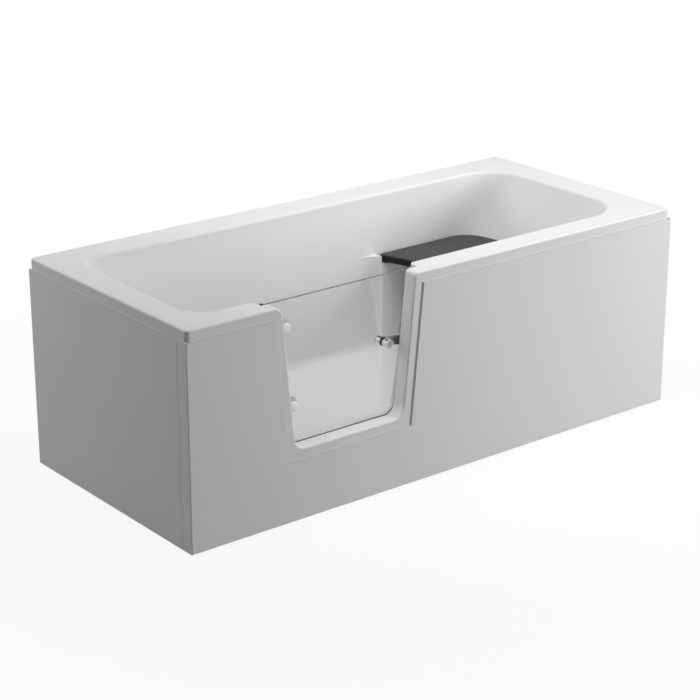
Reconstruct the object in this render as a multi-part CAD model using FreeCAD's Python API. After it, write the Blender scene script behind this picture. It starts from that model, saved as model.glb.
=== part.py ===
import FreeCAD, Part
import math
import os

from FreeCAD import Placement, Rotation, Vector

# Walk-in bathtub for a corner: moulded shell with a door in its long side, loose seat board,
# two clip-on panels, steel cradle on levelling feet, and a waste and overflow set.
# Millimetres. Origin at the middle of the footprint on the floor, +X towards the seat end,
# -Y towards the door side, +Z up.

# Overall size
length = 1700.0
width = 750.0
height = 600.0

# Tolerances of the construction itself
near = 0.01
cut_margin = 1.0

# Moulded shell: rim, basin and the ledges that carry the seat
shell_wall = 8.0
rim_left_width = 87.0
rim_right_width = 103.0
rim_front_width = 88.0
rim_back_width = 100.0
rim_corner_radius = 12.0
rim_outer_round = 5.0
rim_inner_round = 9.0
lip_height = 42.0
basin_corner_left = 75.0
basin_corner_right = 130.0
basin_floor_z = 135.0
basin_floor_round = 24.0
side_slope = 5.0
foot_end_slope = 7.0
backrest_slope = 22.0
ledge_lead_in = 70.0
ledge_nose_round = 6.0
ledge_bearing = 23.0
shoulder_below_seat = 3.0
shoulder_gap = 2.0

# Doorway through the front of the shell
door_from_left = 512.5
sill_z = 201.0
sill_half_width = 179.5
door_lean = 5.6
sill_corner_radius = 35.0
top_corner_left = 26.0
top_corner_right = 10.0
stop_depth = 42.0
reveal_left = 36.0
reveal_right = 40.0
reveal_bottom = 22.0
reveal_corner_radius = 30.0
reveal_flare = 16.0
flare_overlap = 2.0
reveal_wall = 8.0

# Front and end panels
panel_sheet = 4.0
panel_floor_gap = 3.0
panel_reveal = 30.0
door_border = 28.0
panel_return = 41.0
panel_joint = 1.0
panel_foot_return = 13.0
panel_edge_round = 3.0
panel_front_round = 1.5

# Door glass and the seal that it closes on
glass_thickness = 8.0
glass_over_left = 20.0
glass_over_right = 12.0
glass_over_bottom = 12.0
glass_below_rim = 2.0
seal_thickness = 4.0
seal_gap = 0.3
seal_from_edge = 2.0
seal_left_from_edge = 8.0
seal_left_over = 24.0
strike_width = 20.0
strike_thickness = 13.0
strike_foot_gap = 24.0

# Hinges: one below the top of the glass, one above the sill
hinge_below_rim = 82.6
hinge_above_sill = 96.4
hinge_axis_over = 22.0
pin_radius = 4.0
pin_running_gap = 0.05
fit_gap = 0.02
knuckle_radius = 8.0
knuckle_half = 13.7
knuckle_glass_gap = 0.5
ear_gap = 0.3
ear_height = 14.0
pin_head_radius = 5.5
pin_head = 2.0
leaf_plate = 4.0
leaf_half_height = 32.0
leaf_inner_reach = 9.0
leaf_stop_gap = 1.5
clamp_plate = 5.0
clamp_half_height = 20.0
clamp_corner_radius = 10.0
clamp_start = 10.0
clamp_end = 76.0
pad_thickness = 1.0
pad_inset = 1.0
cap_from_edge = 35.3
cap_radius = 14.0
cap_height = 7.0
cap_round = 3.0
cap_stud_radius = 4.9
glass_hole_radius = 6.0
screw_head_radius = 4.5
screw_head = 2.5
screw_radius = 2.2
screw_bite = 10.0
screw_hole_gap = 0.05
screw_tip_gap = 0.5
leaf_screw_offset = 22.0
leaf_screw_back = 14.0

# Latch: a knob on each side of the glass, a paddle inside and a strike on the jamb
latch_from_edge = 45.0
latch_below_rim = 192.0
latch_knob_radius = 12.0
latch_knob_outer = 17.0
latch_knob_inner = 16.0
latch_knob_round = 2.5
spindle_seat = 12.0
spindle_radius = 4.0
bush_radius = 6.9
bush_flange_radius = 12.5
bush_flange = 2.0
latch_hole_radius = 7.0
latch_play = 0.3
paddle_reach = 78.0
paddle_low_angle = -18.0
paddle_high_angle = 2.0
paddle_hub_radius = 13.0
paddle_thickness = 6.0
keeper_plate = 3.0
keeper_lip = 4.0
keeper_lip_gap = 1.0
keeper_glass_gap = 4.0
keeper_lip_low = 7.0
keeper_lip_high = 34.0
keeper_plate_depth = 24.0
keeper_screw_edge = 5.5
keeper_screw_low = 13.0
keeper_screw_high = 28.0

# Seat board on its pads
seat_top_z = 422.0
seat_thickness = 24.0
seat_length = 388.0
seat_hollow = 56.0
seat_end_bow = 43.0
seat_end_gap = 15.0
seat_side_gap = 5.0
seat_corner_radius = 80.0
seat_front_corner = 10.0
seat_edge_round = 5.0
seat_pad_thickness = 3.0
seat_pad_length = 70.0
seat_pad_width = 15.0
seat_pad_inset = 40.0

# Base board and steel cradle
base_board = 15.0
board_clear_of_drain = 45.0
board_end_inset = 70.0
board_side_inset = 45.0
rail_size = 30.0
rail_wall = 2.0
front_rail_inset = 30.0
back_rail_inset = 20.0
rail_end_inset = 42.0
cross_inset = 50.0
post_size = 25.0
door_post_gap = 3.0

# Levelling feet
foot_end_inset = 150.0
foot_pad_radius = 25.0
foot_pad_rim = 6.0
foot_pad_step = 3.0
foot_pad_height = 16.0
foot_neck_radius = 14.0
stud_radius = 6.0
stud_seat = 8.0
stud_hole_gap = 0.5
stud_above_rail = 18.0
nut_across_flats = 19.0
nut_height = 10.0

# Panel brackets
bracket_sheet = 3.0
bracket_width = 40.0
bracket_tab = 30.0
front_bracket_spacing = 360.0
end_bracket_spacing = 360.0

# Waste and overflow
drain_from_left = 235.0
drain_flange_radius = 36.0
drain_flange = 3.0
drain_tube_radius = 26.0
drain_tube_wall = 3.0
drain_hole_gap = 1.0
drain_tube_drop = 30.0
drain_guide_radius = 8.0
drain_guide_height = 8.0
drain_spoke = 4.0
gasket_thickness = 3.0
drain_cup_radius = 33.0
drain_cup_bottom = 62.0
plug_radius = 30.0
plug_edge = 4.0
plug_crown = 5.0
plug_stem_radius = 4.0
plug_stem = 42.0
waste_pipe_radius = 20.0
waste_pipe_wall = 2.0
trap_inlet_z = 84.0
trap_from_wall = 231.0
trap_radius = 44.0
trap_wall = 3.0
trap_collar = 3.0
trap_collar_height = 14.0
trap_collar_drop = 20.0
trap_bottom = 12.0
trap_top = 112.0
outlet_z = 45.0
outlet_wall_gap = 5.0
outlet_spigot = 55.0
outlet_collar = 10.0
outlet_collar_radius = 24.0
overflow_below_rim = 92.0
overflow_hole_radius = 22.0
overflow_cover_radius = 36.0
overflow_cover_depth = 10.0
overflow_cover_wall = 2.5
overflow_slot = 14.0
overflow_slot_setback = 4.0
overflow_sleeve_gap = 0.3
overflow_sleeve_proud = 3.0
overflow_body_radius = 27.0
overflow_body_depth = 46.0
overflow_pipe_radius = 16.0
overflow_pipe_wall = 2.0
overflow_bend = 45.0
overflow_inlet_z = 92.0
hose_socket = 12.0
socket_gap = 2.0
socket_wall = 4.0

# Places that follow from the sizes above
left = -length / 2
right = length / 2
front = -width / 2
back = width / 2
rim_left = left + panel_sheet
rim_right = right - panel_sheet
rim_front = front + panel_sheet
rim_underside = height - shell_wall
shell_underside = basin_floor_z - shell_wall
basin_y = (front + rim_front_width + back - rim_back_width) / 2
lean = math.radians(door_lean)
door_x = left + door_from_left
stop_y = rim_front + stop_depth
portal_spread = reveal_flare + reveal_wall
glass_outer_y = stop_y + seal_thickness
glass_inner_y = glass_outer_y + glass_thickness
glass_top = height - glass_below_rim
panel_top = height - panel_reveal
hinge_y = glass_inner_y + pad_thickness + knuckle_glass_gap + knuckle_radius
seat_bottom = seat_top_z - seat_thickness
ledge_z = seat_bottom - seat_pad_thickness
frame_top = shell_underside - base_board
frame_low = frame_top - rail_size
drain_x = left + drain_from_left
trap_y = back - trap_from_wall
overflow_z = height - overflow_below_rim
latch_z = height - latch_below_rim
hinge_heights = {"upper": height - hinge_below_rim, "lower": sill_z + hinge_above_sill}
along_y = Vector(0, 1, 0)
nodes = {}


def flat_point(z):
    """Map an outline (a, b) to the level z."""
    return lambda a, b: Vector(a, b, z)


def upright_point(y):
    """Map an outline (a, b) to the upright plane at depth y."""
    return lambda a, b: Vector(a, y, b)


def outline(corners, to_point):
    """Closed wire through (a, b, radius) corners, each rounded by an arc where it has a radius."""
    count = len(corners)
    starts = []
    ends = []
    middles = []
    for i in range(count):
        here = Vector(corners[i][0], corners[i][1], 0)
        before = Vector(corners[i - 1][0], corners[i - 1][1], 0)
        after = Vector(corners[(i + 1) % count][0], corners[(i + 1) % count][1], 0)
        to_before = (before - here).normalize()
        to_after = (after - here).normalize()
        half_angle = to_before.getAngle(to_after) / 2
        radius = corners[i][2]
        reach = radius / math.tan(half_angle)
        inward = (to_before + to_after).normalize()
        starts.append(here + to_before * reach)
        ends.append(here + to_after * reach)
        middles.append(here + inward * (radius / math.sin(half_angle) - radius))
    edges = []
    for i in range(count):
        following = (i + 1) % count
        if corners[i][2] > 0:
            bend = [to_point(p.x, p.y) for p in (starts[i], middles[i], ends[i])]
            edges.append(Part.Arc(*bend).toShape())
        run = [to_point(p.x, p.y) for p in (ends[i], starts[following])]
        if run[0].distanceToPoint(run[1]) > near:
            edges.append(Part.LineSegment(*run).toShape())
    return Part.Wire(edges)


def flat_prism(corners, z0, z1):
    """Solid of an outline in plan, from z0 up to z1."""
    return Part.Face(outline(corners, flat_point(z0))).extrude(Vector(0, 0, z1 - z0))


def upright_prism(corners, y0, y1):
    """Solid of an outline in front view, from depth y0 to y1."""
    return Part.Face(outline(corners, upright_point(y0))).extrude(Vector(0, y1 - y0, 0))


def rectangle(x0, x1, y0, y1, radius):
    return [(x0, y0, radius), (x1, y0, radius), (x1, y1, radius), (x0, y1, radius)]


def block(x0, x1, y0, y1, z0, z1):
    return Part.makeBox(x1 - x0, y1 - y0, z1 - z0, Vector(x0, y0, z0))


def ring(outer_radius, inner_radius, depth, base, axis):
    """Round washer, sleeve or collar."""
    body = Part.makeCylinder(outer_radius, depth, base, axis)
    return body.cut(Part.makeCylinder(inner_radius, depth, base, axis))


def edges_at(shape, test):
    """Edges whose every vertex passes the test."""
    return [edge for edge in shape.Edges if all(test(v.Point) for v in edge.Vertexes)]


def placed(shape, place):
    """The shape, moved from a local frame to its place."""
    shape.Placement = place
    return shape


def joined(pieces):
    """One solid from touching pieces."""
    return pieces[0].fuse(pieces[1:]).removeSplitter()


def group(pieces):
    """Separate like pieces kept in one node."""
    return Part.makeCompound(pieces)


# Tub shell


def basin_sides(z, grow):
    """Left, right, front and back of the basin at height z, moved outwards by grow."""
    depth = height - z
    ends = math.radians(foot_end_slope)
    rest = math.radians(backrest_slope)
    sides = math.radians(side_slope)
    x0 = left + rim_left_width + depth * math.tan(ends) - grow / math.cos(ends)
    x1 = right - rim_right_width - depth * math.tan(rest) + grow / math.cos(rest)
    y0 = front + rim_front_width + depth * math.tan(sides) - grow / math.cos(sides)
    y1 = back - rim_back_width - depth * math.tan(sides) + grow / math.cos(sides)
    return x0, x1, y0, y1


def basin_form(grow, top):
    """Tapered basin with rounded corners and floor edge, moved outwards by grow."""
    bottom = basin_floor_z - grow
    rings = []
    for z in (bottom, top):
        corners = rectangle(*basin_sides(z, grow), 0)
        rings.append(outline(corners, flat_point(z)))
    form = Part.makeLoft(rings, True, True)
    for side, radius in ((-1, basin_corner_left), (1, basin_corner_right)):
        corner_edges = [
            e for e in form.Edges if e.BoundBox.ZLength > near and e.CenterOfMass.x * side > 0
        ]
        form = form.makeFillet(radius + grow, corner_edges)
    floor_edges = [e for e in form.Edges if e.BoundBox.ZMax < bottom + near]
    return form.makeFillet(basin_floor_round + grow, floor_edges)


def door_left(z, grow):
    return door_x - sill_half_width - (z - sill_z) * math.tan(lean) - grow / math.cos(lean)


def door_right(z, grow):
    return door_x + sill_half_width + (z - sill_z) * math.tan(lean) + grow / math.cos(lean)


def doorway(grow_left, grow_right, grow_bottom, radius, top):
    """Doorway outline in front view, moved outwards by its three amounts."""
    low = sill_z - grow_bottom
    return [
        (door_left(low, grow_left), low, radius),
        (door_right(low, grow_right), low, radius),
        (door_right(top, grow_right), top, 0),
        (door_left(top, grow_left), top, 0),
    ]


def outer_doorway():
    """Opening in front of the stop, with rounded corners where it meets the rim."""
    above = height + lip_height
    margin = top_corner_left * 2
    corners = doorway(0, 0, 0, sill_corner_radius, height)
    top_right = corners[2][0]
    top_left = corners[3][0]
    return corners[:2] + [
        (top_right, height, top_corner_right),
        (top_right + margin, height, 0),
        (top_right + margin, above, 0),
        (top_left - margin, above, 0),
        (top_left - margin, height, 0),
        (top_left, height, top_corner_left),
    ]


def reveal_flare_form():
    """Widening of the reveal where it runs out into the sloping basin wall."""
    above = height + lip_height
    wires = []
    for depth, extra in ((reveal_flare + flare_overlap, -flare_overlap), (-reveal_flare, reveal_flare * 2)):
        grows = (reveal_left + extra, reveal_right + extra, reveal_bottom + extra)
        wires.append(outline(doorway(*grows, 0, above), upright_point(-depth)))
    form = Part.makeLoft(wires, True, True)
    lower = [e for e in form.Edges if e.BoundBox.YLength > near and e.BoundBox.ZMax < sill_z]
    form = form.makeFillet(reveal_corner_radius, lower)
    form.rotate(Vector(0, 0, height), Vector(1, 0, 0), side_slope)
    form.translate(Vector(0, front + rim_front_width, 0))
    return form


def rim_form():
    """Flat rim with a turned-down lip."""
    sides = (rim_left, rim_right, rim_front, back)
    inner = (rim_left + shell_wall, rim_right - shell_wall, rim_front + shell_wall, back - shell_wall)
    rim = flat_prism(rectangle(*sides, rim_corner_radius), height - lip_height, height)
    under = rectangle(*inner, rim_corner_radius - shell_wall / 2)
    return rim.cut(flat_prism(under, height - lip_height, rim_underside))


def portal_block():
    """Thickened frame round the doorway, from the front face back to the basin."""
    grows = (reveal_left + portal_spread, reveal_right + portal_spread, sill_z - shell_underside)
    corners = doorway(*grows, 0, rim_underside)
    inner_y = basin_sides(basin_floor_z, 0)[2]
    return upright_prism(corners, rim_front, inner_y)


def ledge(side):
    """Moulded ledge under one long edge of the seat; side is -1 for the front, 1 for the back.

    It grows out of the wall in one hollow curve, and in front of the seat it rises to a shoulder
    that keeps the board from sliding forwards.
    """
    shoulder_z = seat_top_z - shoulder_below_seat
    sides = basin_sides(shoulder_z, 0)
    wall_y = sides[2] if side < 0 else sides[3]
    face_y = seat_edge(side) - side * ledge_bearing
    outside = wall_y + side * shell_wall
    start = seat_left()
    begin = start - ledge_lead_in
    swell = abs(face_y - wall_y)
    radius = (ledge_lead_in ** 2 + swell ** 2) / (2 * swell)
    half_turn = math.atan(swell / ledge_lead_in)
    half_run = radius * math.sin(half_turn)
    half_rise = side * radius * (1 - math.cos(half_turn))
    points = [
        Vector(start, face_y, shell_underside),
        Vector(right, face_y, shell_underside),
        Vector(right, outside, shell_underside),
        Vector(begin, outside, shell_underside),
        Vector(begin, wall_y, shell_underside),
    ]
    midway = Vector(begin + half_run, wall_y - half_rise, shell_underside)
    edges = [Part.LineSegment(a, b).toShape() for a, b in zip(points, points[1:])]
    edges.append(Part.Arc(points[-1], midway, points[0]).toShape())
    face = Part.Face(Part.Wire(edges))
    shoulder = face.extrude(Vector(0, 0, shoulder_z - shell_underside))
    nose = [
        e for e in shoulder.Edges
        if e.BoundBox.XLength < near
        and e.BoundBox.YLength < near
        and abs(e.CenterOfMass.x - start) < near
        and abs(e.CenterOfMass.y - face_y) < near
    ]
    shoulder = shoulder.makeFillet(ledge_nose_round, nose)
    behind = block(
        start - shoulder_gap, right + shell_wall, min(face_y, outside) - shell_wall,
        max(face_y, outside) + shell_wall, ledge_z, shoulder_z + shell_wall,
    )
    return shoulder.cut(behind)


def overflow_place():
    """Local frame on the foot-end wall: +X out through the wall, +Z down along it."""
    x0 = basin_sides(overflow_z, 0)[0]
    return Placement(Vector(x0, basin_y, overflow_z), Rotation(along_y, 180 - foot_end_slope))


def doorway_front_edges(shell):
    """Edges of the doorway in the front face; their rounding runs on round the whole rim."""
    return [
        e for e in shell.Edges
        if e.BoundBox.YMax < rim_front + near
        and e.BoundBox.ZMin > sill_z - near
        and e.BoundBox.ZMin < height - lip_height
        and abs(e.CenterOfMass.x - door_x) < door_right(height, 0) - door_x + near
    ]


def make_tub_shell():
    outer = basin_form(shell_wall, height - shell_wall / 2)
    cavity = basin_form(0, height + lip_height)
    shell = rim_form().fuse([outer, portal_block()]).cut(cavity).removeSplitter()
    inner_rim = [
        e for e in shell.Edges
        if e.BoundBox.ZMin > height - near
        and abs(e.CenterOfMass.x) < rim_right - rim_left_width / 2
        and abs(e.CenterOfMass.y) < back - rim_front_width / 2
    ]
    shell = shell.makeFillet(rim_inner_round, inner_rim)
    shell = shell.fuse([ledge(side).common(outer) for side in (-1, 1)])
    above = height + lip_height
    reveal = doorway(reveal_left, reveal_right, reveal_bottom, reveal_corner_radius, above)
    drain_radius = drain_tube_radius + drain_hole_gap
    drain_hole = Part.makeCylinder(drain_radius, shell_wall * 3, drain_point(shell_underside))
    hole_start = Vector(-shell_wall, 0, 0)
    overflow_hole = Part.makeCylinder(overflow_hole_radius, shell_wall * 4, hole_start, Vector(1, 0, 0))
    shell = shell.cut(upright_prism(outer_doorway(), rim_front - cut_margin, stop_y + cut_margin))
    shell = shell.cut(upright_prism(reveal, stop_y, basin_y))
    shell = shell.cut(reveal_flare_form()).removeSplitter()
    shell = shell.makeFillet(rim_outer_round, doorway_front_edges(shell))
    return shell.cut([drain_hole, placed(overflow_hole, overflow_place())] + screw_holes())


# Screws and the frames of the hinge side and the latch side


def screw(base, inward):
    """Round-head screw: base is the middle of the seat face, inward is the way that it bites."""
    head = Part.makeCylinder(screw_head_radius, screw_head, base, inward * -1)
    head = head.makeFillet(screw_head / 2, edges_far(head, base, inward * -1, screw_head))
    shank = Part.makeCylinder(screw_radius, leaf_plate + screw_bite, base, inward)
    return joined([head, shank])


def edges_far(shape, base, axis, distance):
    """Edges at a distance from base along axis."""
    return edges_at(shape, lambda p: abs((p - base).dot(axis) - distance) < near)


def hinge_place(z):
    """Local frame of a hinge: origin on the pin, +X along the glass, +Z up along the leaning pin."""
    return Placement(Vector(door_left(z, hinge_axis_over), hinge_y, z), Rotation(along_y, -door_lean))


def keeper_place():
    """Local frame of the strike: origin on the latch-side jamb, +X into the jamb, +Z up along it."""
    return Placement(Vector(door_right(latch_z, reveal_right), 0, latch_z), Rotation(along_y, door_lean))


def leaf_seat():
    """How far the hinge-side jamb lies from the pin."""
    return reveal_left - hinge_axis_over


def leaf_screw_bases():
    face = -leaf_seat() + leaf_plate
    return [Vector(face, -leaf_screw_back, side * leaf_screw_offset) for side in (-1, 1)]


def keeper_screw_bases():
    depth = glass_inner_y + bush_flange + keeper_plate_depth - keeper_screw_edge
    return [Vector(-keeper_plate, depth, z) for z in (keeper_screw_low, keeper_screw_high)]


def screw_holes():
    """Pilot holes in the shell for the hinge and strike screws."""
    holes = []
    reach = leaf_plate + screw_bite + screw_tip_gap
    seats = [(hinge_place(z), leaf_screw_bases(), Vector(-1, 0, 0)) for z in hinge_heights.values()]
    seats.append((keeper_place(), keeper_screw_bases(), Vector(1, 0, 0)))
    for place, bases, inward in seats:
        for base in bases:
            hole = Part.makeCylinder(screw_radius + screw_hole_gap, reach, base, inward)
            holes.append(placed(hole, place))
    return holes


# Panels


def make_front_panel():
    sheet = block(left, right, front, rim_front, panel_floor_gap, panel_top)
    cutout = doorway(door_border, door_border, door_border, 0, height)
    pieces = [sheet.cut(upright_prism(cutout, front, rim_front))]
    return_back = front + panel_return
    for x0, x1 in ((left, rim_left), (rim_right, right)):
        pieces.append(block(x0, x1, rim_front, return_back, panel_floor_gap, panel_top))
    low = panel_floor_gap + panel_sheet
    foot_back = rim_front + panel_foot_return
    pieces.append(block(rim_left, rim_right, rim_front, foot_back, panel_floor_gap, low))
    panel = joined(pieces)
    corners = edges_at(panel, lambda p: abs(p.y - front) < near and abs(abs(p.x) - right) < near)
    panel = panel.makeFillet(panel_edge_round, corners)
    face_edges = [
        e for e in panel.Edges if e.BoundBox.YMax < front + near and e.BoundBox.ZMin > panel_floor_gap + near
    ]
    return panel.makeFillet(panel_front_round, face_edges)


def make_end_panel():
    start = front + panel_return + panel_joint
    sheet = block(left, rim_left, start, back, panel_floor_gap, panel_top)
    low = panel_floor_gap + panel_sheet
    foot = block(rim_left, rim_left + panel_foot_return, start, back, panel_floor_gap, low)
    panel = joined([sheet, foot])
    top_edge = edges_at(panel, lambda p: p.x < left + near and p.z > panel_top - near)
    return panel.makeFillet(panel_front_round, top_edge)


# Door


def make_door_glass():
    grows = (glass_over_left, glass_over_right, glass_over_bottom)
    radius = sill_corner_radius + glass_over_bottom
    glass = upright_prism(doorway(*grows, radius, glass_top), glass_outer_y, glass_inner_y)
    bores = []
    for z in hinge_heights.values():
        bore = Part.makeCylinder(glass_hole_radius, width, cap_centre(-width / 2), along_y)
        bores.append(placed(bore, hinge_place(z)))
    latch_start = Vector(latch_x(), glass_outer_y, latch_z)
    bores.append(Part.makeCylinder(latch_hole_radius, glass_thickness, latch_start, along_y))
    return glass.cut(bores)


def make_door_seal():
    top = glass_top
    over = glass_over_bottom
    outside = doorway(seal_left_over, glass_over_right, over, sill_corner_radius + over, top)
    edge = seal_from_edge
    inside = doorway(seal_left_from_edge, edge, edge, sill_corner_radius + edge, top)
    back_face = glass_outer_y - seal_gap
    return upright_prism(outside, stop_y, back_face).cut(upright_prism(inside, stop_y, back_face))


def make_strike_profile():
    """Grey strip in the latch-side reveal that closes the gap beside the glass."""
    low = sill_z + strike_foot_gap
    corners = [
        (door_right(low, reveal_right - strike_width), low, 0),
        (door_right(low, reveal_right), low, 0),
        (door_right(glass_top, reveal_right), glass_top, 0),
        (door_right(glass_top, reveal_right - strike_width), glass_top, 0),
    ]
    return upright_prism(corners, stop_y, stop_y + strike_thickness)


# Hinges, in the local frame of the pin


def cap_centre(y):
    return Vector(hinge_axis_over + cap_from_edge, y, 0)


def glass_face(y):
    """Depth y of the part, measured from the pin."""
    return y - hinge_y


def make_hinge_pin():
    half = knuckle_half + ear_gap + ear_height + pin_head
    pin = Part.makeCylinder(pin_radius, half * 2, Vector(0, 0, -half))
    heads = [
        Part.makeCylinder(pin_head_radius, pin_head, Vector(0, 0, z)) for z in (-half, half - pin_head)
    ]
    return joined([pin] + heads)


def make_tub_leaf():
    seat_x = -leaf_seat()
    plate = block(
        seat_x, seat_x + leaf_plate, glass_face(stop_y) + leaf_stop_gap, leaf_inner_reach,
        -leaf_half_height, leaf_half_height,
    )
    pieces = [plate]
    for z in (-knuckle_half - ear_gap - ear_height, knuckle_half + ear_gap):
        pieces.append(Part.makeCylinder(knuckle_radius, ear_height, Vector(0, 0, z)))
        pieces.append(block(seat_x, 0, -knuckle_radius, knuckle_radius, z, z + ear_height))
    leaf = joined(pieces)
    bore = Part.makeCylinder(pin_radius + fit_gap, leaf_half_height * 2, Vector(0, 0, -leaf_half_height))
    holes = [
        Part.makeCylinder(screw_radius + screw_hole_gap, leaf_plate, base, Vector(-1, 0, 0))
        for base in leaf_screw_bases()
    ]
    return leaf.cut([bore] + holes)


def clamp_outline():
    return rectangle(clamp_start, clamp_end, -clamp_half_height, clamp_half_height, clamp_corner_radius)


def make_glass_leaf():
    low = glass_face(glass_inner_y) + pad_thickness
    knuckle = Part.makeCylinder(knuckle_radius, knuckle_half * 2, Vector(0, 0, -knuckle_half))
    neck = block(0, clamp_end / 2, low, low + clamp_plate, -knuckle_half, knuckle_half)
    clamp = upright_prism(clamp_outline(), low, low + clamp_plate)
    leaf = joined([knuckle, neck, clamp])
    bore = Part.makeCylinder(pin_radius + pin_running_gap, knuckle_half * 2, Vector(0, 0, -knuckle_half))
    stud = Part.makeCylinder(cap_stud_radius + fit_gap, clamp_plate, cap_centre(low), along_y)
    return leaf.cut([bore, stud])


def make_hinge_pads():
    """Soft washers on both faces of the glass."""
    low = glass_face(glass_inner_y)
    inner = upright_prism(clamp_outline(), low, low + pad_thickness)
    inner = inner.cut(Part.makeCylinder(glass_hole_radius, pad_thickness, cap_centre(low), along_y))
    outer_y = glass_face(glass_outer_y) - pad_thickness
    outer = ring(cap_radius - pad_inset, glass_hole_radius, pad_thickness, cap_centre(outer_y), along_y)
    return [inner, outer]


def make_hinge_cap():
    seat_y = glass_face(glass_outer_y) - pad_thickness
    front_y = seat_y - cap_height
    cap = Part.makeCylinder(cap_radius, cap_height, cap_centre(front_y), along_y)
    cap = cap.makeFillet(cap_round, edges_at(cap, lambda p: p.y < front_y + near))
    stud_end = glass_face(glass_inner_y) + pad_thickness + clamp_plate
    stud = Part.makeCylinder(cap_stud_radius, stud_end - seat_y, cap_centre(seat_y), along_y)
    return joined([cap, stud])


# Latch


def latch_x():
    return door_right(latch_z, -latch_from_edge)


def latch_point(y):
    return Vector(latch_x(), y, latch_z)


def make_latch_bush():
    outer_y = glass_outer_y - bush_flange
    sleeve = Part.makeCylinder(bush_radius, glass_thickness + bush_flange, latch_point(outer_y), along_y)
    flange = Part.makeCylinder(bush_flange_radius, bush_flange, latch_point(outer_y), along_y)
    bore = Part.makeCylinder(
        spindle_radius + pin_running_gap, glass_thickness + bush_flange, latch_point(outer_y), along_y
    )
    return joined([sleeve, flange]).cut(bore)


def make_latch_washer():
    inner_radius = spindle_radius + pin_running_gap
    return ring(bush_flange_radius, inner_radius, bush_flange, latch_point(glass_inner_y), along_y)


def make_knob(mouth_y, direction, depth):
    """Turned knob, bored for the spindle; direction is the way from its mouth along the spindle."""
    axis = along_y * direction
    mouth = latch_point(mouth_y)
    body = Part.makeCylinder(latch_knob_radius, depth, mouth, axis)
    body = body.makeFillet(latch_knob_round, edges_far(body, mouth, axis, depth))
    return body.cut(Part.makeCylinder(spindle_radius + fit_gap, spindle_seat, mouth, axis))


def make_latch_spindle():
    start_y = outer_knob_mouth - spindle_seat
    reach = inner_knob_mouth + spindle_seat - start_y
    return Part.makeCylinder(spindle_radius, reach, latch_point(start_y), along_y)


def make_latch_paddle():
    """Flat arm that turns up behind the strike."""
    hub = Part.makeCylinder(paddle_hub_radius, paddle_thickness, latch_point(paddle_y), along_y)
    tip = []
    for angle in (paddle_low_angle, (paddle_low_angle + paddle_high_angle) / 2, paddle_high_angle):
        turn = math.radians(angle)
        tip.append(latch_point(paddle_y) + Vector(math.cos(turn), 0, math.sin(turn)) * paddle_reach)
    above = latch_point(paddle_y) + Vector(0, 0, paddle_hub_radius)
    below = latch_point(paddle_y) - Vector(0, 0, paddle_hub_radius)
    edges = [
        Part.LineSegment(below, tip[0]).toShape(),
        Part.Arc(*tip).toShape(),
        Part.LineSegment(tip[2], above).toShape(),
        Part.LineSegment(above, below).toShape(),
    ]
    arm = Part.Face(Part.Wire(edges)).extrude(along_y * paddle_thickness)
    bore = Part.makeCylinder(spindle_radius + fit_gap, paddle_thickness, latch_point(paddle_y), along_y)
    return joined([hub, arm]).cut(bore)


def make_keeper():
    """Strike bracket, in the local frame of the latch-side jamb."""
    plate_y = glass_inner_y + bush_flange
    plate = block(-keeper_plate, 0, plate_y, plate_y + keeper_plate_depth, keeper_lip_low, keeper_lip_high)
    lip_reach = reveal_right - glass_over_right - keeper_glass_gap
    lip_y = inner_knob_mouth + keeper_lip_gap
    lip = block(-lip_reach, 0, lip_y, lip_y + keeper_lip, keeper_lip_low, keeper_lip_high)
    holes = [
        Part.makeCylinder(screw_radius + screw_hole_gap, keeper_plate, base, Vector(1, 0, 0))
        for base in keeper_screw_bases()
    ]
    return joined([plate, lip]).cut(holes)


# Seat


def seat_right():
    return basin_sides(seat_bottom, 0)[1] - seat_end_gap


def seat_left():
    return seat_right() - seat_length


def seat_edge(side):
    """Depth of a long edge of the seat; side is -1 for the front, 1 for the back."""
    sides = basin_sides(seat_bottom, 0)
    return sides[2] + seat_side_gap if side < 0 else sides[3] - seat_side_gap


def make_seat_board():
    """Board with a hollowed leading edge and a bowed end that follows the basin."""
    x0 = seat_left()
    x1 = seat_right()
    y0 = seat_edge(-1)
    y1 = seat_edge(1)
    middle = (y0 + y1) / 2
    corners = [
        Vector(x0, y0, seat_bottom),
        Vector(x1 - seat_end_bow, y0, seat_bottom),
        Vector(x1 - seat_end_bow, y1, seat_bottom),
        Vector(x0, y1, seat_bottom),
    ]
    edges = [
        Part.LineSegment(corners[0], corners[1]).toShape(),
        Part.Arc(corners[1], Vector(x1, middle, seat_bottom), corners[2]).toShape(),
        Part.LineSegment(corners[2], corners[3]).toShape(),
        Part.Arc(corners[3], Vector(x0 + seat_hollow, middle, seat_bottom), corners[0]).toShape(),
    ]
    board = Part.Face(Part.Wire(edges)).extrude(Vector(0, 0, seat_thickness))
    halfway = (x0 + x1) / 2
    for radius, side in ((seat_corner_radius, 1), (seat_front_corner, -1)):
        upright = [
            e for e in board.Edges
            if e.BoundBox.ZLength > seat_thickness / 2
            and e.BoundBox.XLength < near
            and (e.CenterOfMass.x - halfway) * side > 0
        ]
        board = board.makeFillet(radius, upright)
    rims = [e for e in board.Edges if e.BoundBox.ZLength < near]
    return board.makeFillet(seat_edge_round, rims)


def make_seat_pads():
    """Strips under the board that rest on the ledges."""
    starts = (
        seat_left() + seat_pad_inset,
        seat_right() - seat_end_bow - seat_corner_radius - seat_pad_length,
    )
    pads = []
    for side in (-1, 1):
        middle = seat_edge(side) - side * ledge_bearing / 2
        for x0 in starts:
            pads.append(block(
                x0, x0 + seat_pad_length, middle - seat_pad_width / 2, middle + seat_pad_width / 2,
                ledge_z, seat_bottom,
            ))
    return group(pads)


# Base board, cradle and feet


def board_span():
    """Ends of the base board in X."""
    return drain_x + board_clear_of_drain, basin_sides(basin_floor_z, 0)[1] - board_end_inset


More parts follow.
